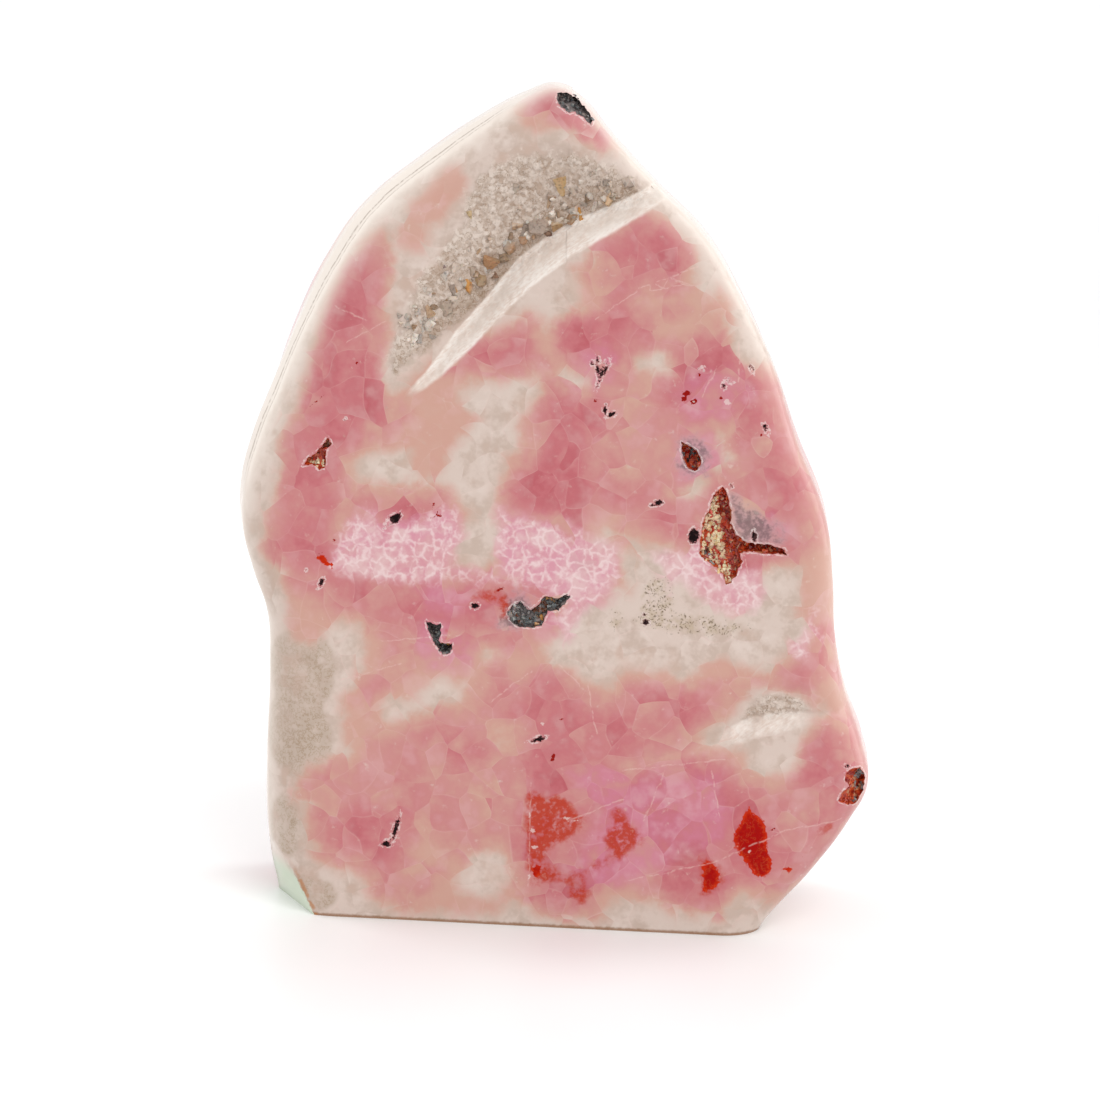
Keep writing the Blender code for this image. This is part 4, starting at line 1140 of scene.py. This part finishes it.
    # thin pale lines, white flecks and small dark and rusty marks, with a pale ring round the marks and the
    # pits' rims that is partly a chipped edge and partly a painted glint
    line = (across_line + (mid - 0.5) * 1.1).near(0.0, 0.04, 0.2) * (1.0 - line_away.step(0.7, 1.1))
    f.paint(FRACTURE, line * fine.step(0.34, 0.58) * 0.42)
    broken = (f.noise(place, 2.6, 2.0) - 0.5) * 0.8
    dark, rust, fleck = [(mark + broken).step(-0.05, 0.07) for mark in (dark_in, rust_in, fleck_in - 0.06)]
    f.paint(RUST_MARK, rust)
    f.paint(FLECK, fleck * 0.6)
    near = dark_in.high(from_rim) + broken * 0.9
    f.paint(CHIPPED_GLINT, near.step(-0.42, -0.22) * (1.0 - near.step(-0.2, -0.02)) * fine.step(0.38, 0.56) * 0.7)
    f.paint(MARK_HALO, (dark_in + broken * 1.5).step(-0.2, 0.0) * 0.6)
    f.paint(f.mix(MARK_DARK, MARK_BROWN, fine.step(0.5, 0.66)), dark)

    # the rim painted pale, partly the cream of the ground edge and partly a painted glow where light comes
    # through the thin edge, thinner at the right, and the ground edge's double crease painted as lines of
    # shade
    rim = (side + (cloud - 0.5) * 0.1 + (mid - 0.5) * 0.06).step(-0.99, -0.72) * (1.0 - side.step(-0.4, 0.3))
    f.paint(RIM, rim * (ground * 0.3 + 0.6 - x.step(31.0, 38.0) * 0.42))
    across = side + (cloud - 0.5) * 0.06 + (mid - 0.5) * 0.05
    first_crease = across.near(FIRST_CREASE, 0.004, 0.036)
    second_crease = across.near(SECOND_CREASE, 0.004, 0.02) * 0.6
    f.paint(CREASE_SHADE, first_crease.high(second_crease) * ground.step(0.35, 0.7) * fine.step(0.3, 0.55) * 0.7)

    # a brown band in the lowest mm along the bottom edge, and the mint-green corner with its brown line
    f.paint(FOOT, (1.0 - (z + (fine - 0.5) * 0.5).step(0.25, 0.75)) * 0.75)
    cut = f.dot(place, tuple(CORNER_CUT_NORMAL)) - CORNER_CUT_AT.dot(CORNER_CUT_NORMAL) + (fine - 0.5) * 0.5
    low_corner = 1.0 - z.step(5.5, 10.0)
    corner_line = cut.step(-0.9, -0.5) * (1.0 - cut.step(-0.3, -0.1)) * low_corner
    f.paint(CORNER_LINE, corner_line * even.step(0.4, 0.56) * 0.7)
    f.paint(CORNER_MINT, cut.step(-0.16, -0.06) * low_corner)
    f.set("Base Color", f.painted)

    f.set("Roughness", druse.high(wall * 0.1) * 0.34 + 0.14 + (fine - 0.5) * 0.06)
    grainy = druse_in.step(0.2, 0.8).high(wall_in * 0.1)
    f.bump(grainy * (shade * 0.4 + fine * 1.2) - dark * 0.5, 0.9, 0.35)
    return f.material


def lining_finish(name, first, second, third):
    """The broken inside of a pit: two colours in patches, and a paler one on some grains."""
    f = Finish(name, 0.42, IOR=1.55)
    place = f.place()
    patch = f.noise(place, 1.1, 4.0)
    grain, pick, _ = f.parts(f.cells(place, LINING_WIDTH)[1])
    f.painted = f.mix(first, second, patch.step(0.38, 0.6))
    f.paint(third, (pick - 0.75).step(0.0, 0.12) * 0.6)
    f.set("Base Color", f.painted)
    f.bump(grain + patch, 0.9, 0.3)
    return f.material


def crystal_finish():
    """Crystals take the tint kept on them, a little uneven, with wet-looking faces and pale patches of
    painted gleam.
    """
    f = Finish("pit_crystal", 0.28, IOR=1.6, Subsurface_Weight=0.1, Subsurface_Scale=0.001)
    place = f.place()
    tint = f.node("ShaderNodeAttribute", {"attribute_name": "tint"}, {}, "Color")
    cloud = f.noise(place, 1.6)
    f.painted = f.mix(tint, CRYSTAL_SHADE, (0.5 - cloud).step(0.02, 0.2) * 0.5, "MULTIPLY")
    # painted highlight: pale patches of gleam on the crystals
    f.paint(CRYSTAL_GLEAM, (cloud - 0.5).step(0.06, 0.25) * 0.28)
    f.set("Base Color", f.painted)
    f.bump(f.noise(place, 4.0), 0.4, 0.12)
    return f.material

# ---------------------------------------------------------------- the stone


def fine_slab():
    """The even slab, with finer faces where the front is grainy or marked."""
    stone = slab("polished_stone", 6, 4)
    even = slab("even_slab", 16, 16)
    finish_with(stone, "REMESH", mode="VOXEL", voxel_size=VOXEL * MM)
    finish_with(stone, "SHRINKWRAP", target=even, wrap_method="NEAREST_SURFACEPOINT")
    bpy.data.objects.remove(even)

    x, y, z = in_mm(stone.data.polygons, "center").T
    grainy = (zone((x, z), DRUSE_ZONES) > -0.8) | (ledges(x, z)[1] > 0.1)
    subdivide_where(stone, (y < FRONT_FACES) & grainy, 2)

    x, y, z = in_mm(stone.data.polygons, "center").T
    margin = np.array((0.0, 0.0, MARK_MARGIN, MARK_MARGIN, 0.0))
    wider = [tuple(row + margin) for row in SMALL_MARKS]
    subdivide_where(stone, (y < FRONT_FACES) & (marks((x, z), wider) > 0.0), 3)
    return stone


def dress(stone):
    """Gives the slab its own faces and its grainy ground, and says of each point how far it is from
    the middle, and how much it is on the ground edge, on the grainy ground, on a wall, and how far
    from the upper ledge's foot."""
    x, y, z = points_of(stone).T
    points, side, ground = shape(x, y, z)
    druse = smooth((zone((points[:, 0], points[:, 2]), DRUSE_ZONES) + 1.0) / 4.0) * (side < ON_FRONT)
    _, wall, from_foot = ledges(x, z)
    wall = wall * (side < ON_FRONT)
    grit = roughen(points, GRIT_SIZE, 1.0, 3)
    points[:, 1] += GRIT_HEIGHT * grit * np.maximum(druse, 0.6 * wall)
    move_points(stone, points)
    return points, np.stack((side, ground, druse, wall, from_foot))


def cut_pits(stone):
    surface = surface_of(stone)
    linings = {name: lining_finish(name + "_lining", *colours) for name, colours in LINING_COLOURS.items()}
    cutters = bpy.data.collections.new("pit_cutters")
    for seed, (name, rim, depth, lining) in enumerate(PITS):
        cutters.objects.link(pit_cutter(name, rim, depth, surface, linings[lining], seed))
    cut = {"operation": "DIFFERENCE", "operand_type": "COLLECTION", "collection": cutters, "solver": "EXACT"}
    finish_with(stone, "BOOLEAN", material_mode="TRANSFER", **cut)
    for cutter in list(cutters.objects):
        bpy.data.objects.remove(cutter)


def keep_fields(stone, points, of_each):
    """Keeps on the stone's points what its finish reads."""
    side, ground, druse, wall, from_foot = of_each
    front = (points[:, 0], points[:, 2])
    turns = smooth((side + 0.45) / 0.8)

    def field(outlines, size, level, seed, holes=()):
        """The zones on the front, turning to an uneven field over the sides and the back."""
        ahead = zone(front, outlines, holes)
        behind = np.clip(9.0 * (roughen(points, size, 1.0, seed) + level), -ZONE_REACH, ZONE_REACH)
        return ahead + (behind - ahead) * turns

    peach = field(PEACH_ZONES, 22.0, 0.3, 11, CREAM_HOLES)
    rose = np.minimum(peach, field(ROSE_ZONES, 20.0, 0.12, 12, CREAM_HOLES))
    deep = np.minimum(rose, field(DEEP_ZONES, 16.0, -0.05, 13))
    lace = field(LACE_ZONES, 24.0, -0.42, 14)
    lilac = field(LILAC_ZONES, 24.0, -0.25, 15)
    smoke = field(SMOKE_ZONES, 16.0, -0.85, 16)
    bright = field(BRIGHT_STAINS, 14.0, -0.88, 17)
    soft = field(SOFT_STAINS, 14.0, -0.76, 18)
    wall = wall * np.where(front[1] < LOWER_LEDGE_TOP, LOWER_WALL_SHARE, 1.0)
    low_crevices = np.exp(-((from_foot - 1.6) / 3.4) ** 2)
    behind_front = np.where(side < WELL_ON_FRONT, 0.0, 2.0)
    patches = (marks(front, rows) - behind_front for rows in (SPECKLED, OCHRE_PATCHES))
    speckled, ochre = (smooth(0.5 + patch / 1.4) for patch in patches)
    across, nearest_line = lines(front, PALE_LINES)
    from_rim = np.where(side < WELL_ON_FRONT, inside_any(front, [rim for _, rim, _, _ in PITS]), -LINE_REACH)
    pointwise(stone, "tone", peach, rose, deep)
    pointwise(stone, "accent", lace, lilac, smoke)
    pointwise(stone, "stain", bright, soft, side)
    pointwise(stone, "relief", druse, wall, ground)
    pointwise(stone, "mottle", low_crevices, speckled, ochre)
    pointwise(stone, "fractures", across, nearest_line + behind_front, from_rim)
    small = [marks(front, rows) - behind_front for rows in (DARK_MARKS, RUST_MARKS, WHITE_FLECKS)]
    pointwise(stone, "small_marks", *small)


def make_stone():
    stone = fine_slab()
    points, of_each = dress(stone)
    uncut = KDTree(len(points))
    for i, point in enumerate(points):
        uncut.insert(point, i)
    uncut.balance()

    cut_away(stone, (0.0, 0.0, 0.0), (0.0, 0.0, -1.0))
    cut_away(stone, CORNER_CUT_AT, CORNER_CUT_NORMAL)
    stone.data.materials.clear()
    stone.data.materials.append(stone_finish())
    cut_pits(stone)

    points = points_of(stone)
    keep_fields(stone, points, of_each[:, [uncut.find(point)[1] for point in points]])
    only(stone)
    bpy.ops.object.shade_smooth_by_angle(angle=SMOOTH_UNDER)
    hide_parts("stone")
    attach(stone, "root")
    return stone


stone = make_stone()

# ---------------------------------------------------------------- crystals in the pits and on the ledge

# A crystal is a round grain or a blunt six-sided one, and both have this many points.
POINTS_EACH = 12
ROUND_SHARE = 0.35
MOST_TURN = 0.5
UNEVEN = 0.06
CRYSTAL_CREAM = (255, 222, 182)
CRYSTAL_SAND = (232, 196, 140)
CRYSTAL_PALE = (206, 198, 196)
CRYSTAL_OCHRE = (196, 136, 66)
CRYSTAL_BROWN = (118, 66, 42)
CRYSTAL_RUST = (186, 46, 10)
CRYSTAL_RED = (160, 10, 4)
CRYSTAL_ORANGE = (228, 84, 24)
CRYSTAL_GREY = (132, 124, 122)
CRYSTAL_SLATE = (116, 120, 120)
CRYSTAL_DARK = (52, 42, 42)


def add_crystal(at, turn, scale, rng):
    """Adds one crystal to the piece in edit mode."""
    if rng.random() < ROUND_SHARE:
        rounder = [1.1 * s for s in scale]
        bpy.ops.mesh.primitive_ico_sphere_add(
            subdivisions=1, radius=MM, location=at, rotation=turn, scale=rounder
        )
        return
    lying = (turn[0], turn[1] + rng.choice((0.0, math.pi / 2.0, math.pi)), turn[2])
    bpy.ops.mesh.primitive_cone_add(
        vertices=6, radius1=MM, radius2=rng.uniform(0.25, 0.6) * MM, depth=2.0 * MM,
        end_fill_type="NGON", location=at, rotation=lying, scale=scale,
    )


def grow(name, rows, sunk, seed):
    """Small broken crystals at x, z with a half width, half height and tint, in one piece."""
    rng = random.Random(seed)
    surface = surface_of(stone)
    bpy.ops.mesh.primitive_ico_sphere_add(subdivisions=1, radius=MM)
    obj = bpy.context.object
    obj.name = name
    obj.data.name = name
    edit(obj, (bpy.ops.mesh.delete, {"type": "VERT"}))
    only(obj)
    bpy.ops.object.mode_set(mode="EDIT")
    tints = []
    for x, z, half_width, half_height, tint in rows:
        front = front_at(surface, x, z)
        if front is None:
            continue
        half = min(half_width, half_height)
        at = Vector((x, front + half * sunk, z)) * MM
        turn = [rng.uniform(-MOST_TURN, MOST_TURN) for _ in range(3)]
        scale = (half_width, half * rng.uniform(0.9, 1.2), half_height)
        add_crystal(at, turn, scale, rng)
        brightness = rng.uniform(0.82, 1.1)
        tints.append(screen(*(min(255.0, c * brightness) for c in tint)))
    bpy.ops.object.mode_set(mode="OBJECT")
    points = points_of(obj)
    points += np.array([[rng.uniform(-UNEVEN, UNEVEN) for _ in range(3)] for _ in points])
    move_points(obj, points)
    colours = np.repeat(np.array(tints, np.float32), POINTS_EACH, axis=0)
    layer = obj.data.attributes.new("tint", "FLOAT_COLOR", "POINT")
    layer.data.foreach_set("color", colours.ravel())
    edit(obj, (bpy.ops.mesh.normals_make_consistent, {"inside": False}))
    obj.data.materials.append(crystal_material)
    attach(obj, "root")
    return obj


def scattered(rim, count, low, high, tint_at, seed):
    """Rows for grow, scattered over a pit and kept a little inside its rim."""
    rng = random.Random(seed)
    xs, zs = zip(*rim)
    rows = []
    while len(rows) < count:
        x, z = rng.uniform(min(xs), max(xs)), rng.uniform(min(zs), max(zs))
        size = rng.uniform(low, high)
        if inside((np.array([x]), np.array([z])), rim)[0] > 0.25 * size:
            half_width, half_height = size * rng.uniform(0.7, 1.3), size * rng.uniform(0.8, 1.3)
            rows.append((x, z, half_width, half_height, tint_at(x, z, rng)))
    return rows


def main_pit_tint(x, z, rng):
    if x > 26.9 + 0.235 * (81.0 - z) or z > 79.0:
        return rng.choice((CRYSTAL_RUST, CRYSTAL_RUST, CRYSTAL_RED, CRYSTAL_ORANGE))
    if z < 69.5 and x < 27.6 and rng.random() < 0.6:
        return rng.choice((CRYSTAL_SLATE, CRYSTAL_BROWN, CRYSTAL_RED))
    return rng.choice((CRYSTAL_CREAM,) * 7 + (CRYSTAL_SAND, CRYSTAL_RUST))


def middle_pit_tint(x, z, rng):
    if x < -5.0 and z > 56.6:
        return rng.choice((CRYSTAL_PALE, CRYSTAL_GREY))
    if -3.5 < x < -0.6:
        return rng.choice((CRYSTAL_OCHRE, CRYSTAL_BROWN, CRYSTAL_SLATE))
    return rng.choice((CRYSTAL_SLATE, CRYSTAL_SLATE, CRYSTAL_DARK, CRYSTAL_BROWN))


def lower_left_tint(x, z, rng):
    if x > -20.6 and z > 51.0:
        return CRYSTAL_OCHRE
    return rng.choice((CRYSTAL_SLATE, CRYSTAL_SLATE, CRYSTAL_DARK))


def oval_tint(x, z, rng):
    return rng.choice((CRYSTAL_RED, CRYSTAL_RED, CRYSTAL_DARK, CRYSTAL_RUST))


def left_edge_tint(x, z, rng):
    return CRYSTAL_CREAM if z < 82.8 else rng.choice((CRYSTAL_RUST, CRYSTAL_BROWN, CRYSTAL_RED))


def chamfer_tint(x, z, rng):
    return rng.choice((CRYSTAL_RUST, CRYSTAL_ORANGE, CRYSTAL_RED)) if x < 53.6 else CRYSTAL_GREY


def tip_tint(x, z, rng):
    return rng.choice((CRYSTAL_DARK, CRYSTAL_DARK, CRYSTAL_SLATE))


# Each pit's rim, how many crystals it holds, the smallest and largest half size, and their tints.
VUGS = (
    (MAIN_RIM, 300, 0.22, 0.56, main_pit_tint),
    (MIDDLE_RIM, 110, 0.2, 0.5, middle_pit_tint),
    (LOWER_LEFT_RIM, 40, 0.2, 0.5, lower_left_tint),
    (OVAL_RIM, 26, 0.2, 0.45, oval_tint),
    (LEFT_EDGE_RIM, 36, 0.18, 0.4, left_edge_tint),
    (CHAMFER_RIM, 44, 0.2, 0.5, chamfer_tint),
    (TIP_RIM, 30, 0.18, 0.45, tip_tint),
)
# Crystals along the ledge's foot: x, z, half width, half height and tint.
LEDGE_CRYSTALS = (
    (-21.0, 110.3, 1.8, 1.1, (178, 156, 138)), (-19.7, 113.4, 1.0, 1.1, (150, 130, 116)),
    (-17.2, 114.4, 0.8, 1.7, (196, 134, 56)), (-15.0, 115.4, 1.1, 1.3, (198, 164, 126)),
    (-13.7, 118.2, 1.8, 1.5, (166, 124, 88)), (-11.3, 119.8, 1.1, 1.2, (190, 160, 130)),
    (-10.2, 121.4, 1.4, 1.4, (186, 162, 142)), (-7.8, 122.7, 1.0, 1.1, (160, 124, 94)),
    (-5.3, 125.2, 2.0, 1.9, (192, 170, 154)), (-7.6, 124.5, 1.1, 1.2, (176, 152, 134)),
    (-1.8, 125.4, 1.3, 1.0, (176, 138, 96)), (0.4, 126.5, 1.5, 0.9, (158, 122, 90)),
    (2.1, 127.6, 0.6, 1.2, (186, 130, 60)), (-1.4, 132.4, 1.3, 1.7, (204, 168, 120)),
    (7.3, 130.4, 1.3, 1.4, (206, 168, 132)), (-17.2, 126.9, 0.8, 0.8, (206, 176, 130)),
    (-9.3, 131.5, 1.1, 1.1, (196, 176, 158)), (-25.7, 109.6, 0.8, 0.7, (184, 172, 162)),
    (-25.5, 105.3, 0.8, 0.8, (172, 160, 150)), (-23.4, 105.2, 0.9, 0.6, (176, 162, 150)),
    (-19.7, 117.4, 1.1, 0.8, (190, 174, 160)), (10.3, 133.4, 1.4, 1.3, (212, 190, 174)),
    (-21.5, 117.9, 0.35, 0.35, (120, 70, 58)), (-16.6, 117.0, 0.8, 0.9, (182, 158, 138)),
    (-3.4, 123.9, 0.9, 0.6, (140, 104, 76)), (-12.6, 116.4, 0.8, 0.6, (134, 98, 72)),
)
LEDGE_FOOT = ((-27.0, 104.0), (-21.5, 110.6), (-14.5, 117.2), (-6.0, 123.6), (2.0, 127.6), (9.0, 131.4))
LEDGE_TINTS = ((214, 198, 184), (204, 186, 170), (190, 168, 150), (168, 136, 106), (224, 210, 198))


def foot_crystals(count, seed):
    """Rows for grow, strewn over the ground just beyond the upper ledge's foot."""
    rng = random.Random(seed)
    rows = []
    for _ in range(count):
        (ax, az), (bx, bz) = rng.choice(list(zip(LEDGE_FOOT, LEDGE_FOOT[1:])))
        t, away = rng.random(), rng.random() ** 1.6 * 6.0 - 0.3
        x, z = ax + (bx - ax) * t - 0.6 * away, az + (bz - az) * t + 0.8 * away
        size = rng.uniform(0.35, 0.9) * (1.15 - 0.07 * away)
        half_width, half_height = size * rng.uniform(0.7, 1.3), size * rng.uniform(0.7, 1.3)
        rows.append((x, z, half_width, half_height, rng.choice(LEDGE_TINTS)))
    return rows


crystal_material = crystal_finish()
vug_rows = [row for seed, vug in enumerate(VUGS, 31) for row in scattered(*vug, seed)]
vug = grow("vug_crystals", vug_rows, 0.2, 41)
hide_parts("large_pit_crystals")
grow("ledge_crystals", [*LEDGE_CRYSTALS, *foot_crystals(110, 43)], 0.32, 42)

# ---------------------------------------------------------------- floor, light and camera

# The floor, in mm: where it starts to curve up behind the stone, and how tightly.
SWEEP_STARTS = 1200.0
SWEEP_RADIUS = 900.0
BOARD_DULL = (0.88, 0.88, 0.88, 1.0)
BOARD_BRIGHT = (0.89, 0.89, 0.89, 1.0)
WORLD_WHITE = (1.0, 1.0, 1.0, 1.0)
WORLD_STRENGTH = 0.80
# The light and the camera, in metres.
MIDDLE = Vector((0.0, 0.0, 0.075))
ELEVATION = math.radians(10.0)
ROLL = math.radians(1.5)
DISTANCE = 0.600
CAMERA_AIM = Vector((-0.0016, 0.0008, 0.0653))
SENSOR_WIDTH = 36.0
LENS = 107.5


def floor_finish():
    f = Finish("white_board", 0.35, IOR=1.4)
    f.set("Base Color", f.mix(BOARD_DULL, BOARD_BRIGHT, f.noise(f.place(), 0.01, 2.0)))
    return f.material


def lay_floor():
    """A flat floor that curves up into a wall far behind the stone."""
    bpy.ops.mesh.primitive_grid_add(x_subdivisions=4, y_subdivisions=40, size=8.0)
    floor = bpy.context.object
    floor.name = "studio_sweep"
    points = points_of(floor)
    over = np.maximum(points[:, 1] - SWEEP_STARTS, 0.0)
    turn = np.minimum(over / SWEEP_RADIUS, math.pi / 2.0)
    above = np.maximum(over - SWEEP_RADIUS * math.pi / 2.0, 0.0)
    points[:, 2] = SWEEP_RADIUS * (1.0 - np.cos(turn)) + above
    points[:, 1] = np.minimum(points[:, 1], SWEEP_STARTS) + SWEEP_RADIUS * np.sin(turn)
    move_points(floor, points)
    only(floor)
    bpy.ops.object.shade_smooth()
    floor.data.materials.append(floor_finish())


def lamp(name, kind, at, power, **settings):
    """A lamp that points at the middle of the stone."""
    bpy.ops.object.light_add(type=kind, location=at)
    made = bpy.context.object
    made.name = name
    made.data.energy = power
    for setting, value in settings.items():
        setattr(made.data, setting, value)
    made.rotation_euler = (MIDDLE - Vector(at)).to_track_quat("-Z", "Y").to_euler()


def add_camera():
    """A long lens a little above the stone, turned a little to one side."""
    forward = Vector((0.0, math.cos(ELEVATION), -math.sin(ELEVATION)))
    upward = Vector((0.0, math.sin(ELEVATION), math.cos(ELEVATION)))
    sideways = Vector((1.0, 0.0, 0.0))
    right = sideways * math.cos(ROLL) + upward * math.sin(ROLL)
    up = upward * math.cos(ROLL) - sideways * math.sin(ROLL)
    bpy.ops.object.camera_add()
    camera = bpy.context.object
    camera.name = "camera"
    turn = Matrix((right, up, -forward)).transposed()
    camera.matrix_world = Matrix.Translation(CAMERA_AIM - forward * DISTANCE) @ turn.to_4x4()
    camera.data.sensor_width = SENSOR_WIDTH
    camera.data.lens = LENS
    bpy.context.scene.camera = camera


lay_floor()
world = bpy.data.worlds.new("white_studio")
world.use_nodes = True
background = world.node_tree.nodes["Background"]
background.inputs["Color"].default_value = WORLD_WHITE
background.inputs["Strength"].default_value = WORLD_STRENGTH
bpy.context.scene.world = world
lamp("overhead_light", "SUN", (0.40, -0.75, 0.95), 1.2, angle=math.radians(35.0))
lamp("left_rim_light", "AREA", (-0.60, 0.25, 0.40), 1.8, shape="RECTANGLE", size=0.3, size_y=0.7)
lamp("right_rim_light", "AREA", (0.60, 0.25, 0.35), 2.0, shape="RECTANGLE", size=0.3, size_y=0.7)
add_camera()
bpy.context.scene.view_settings.view_transform = "Standard"
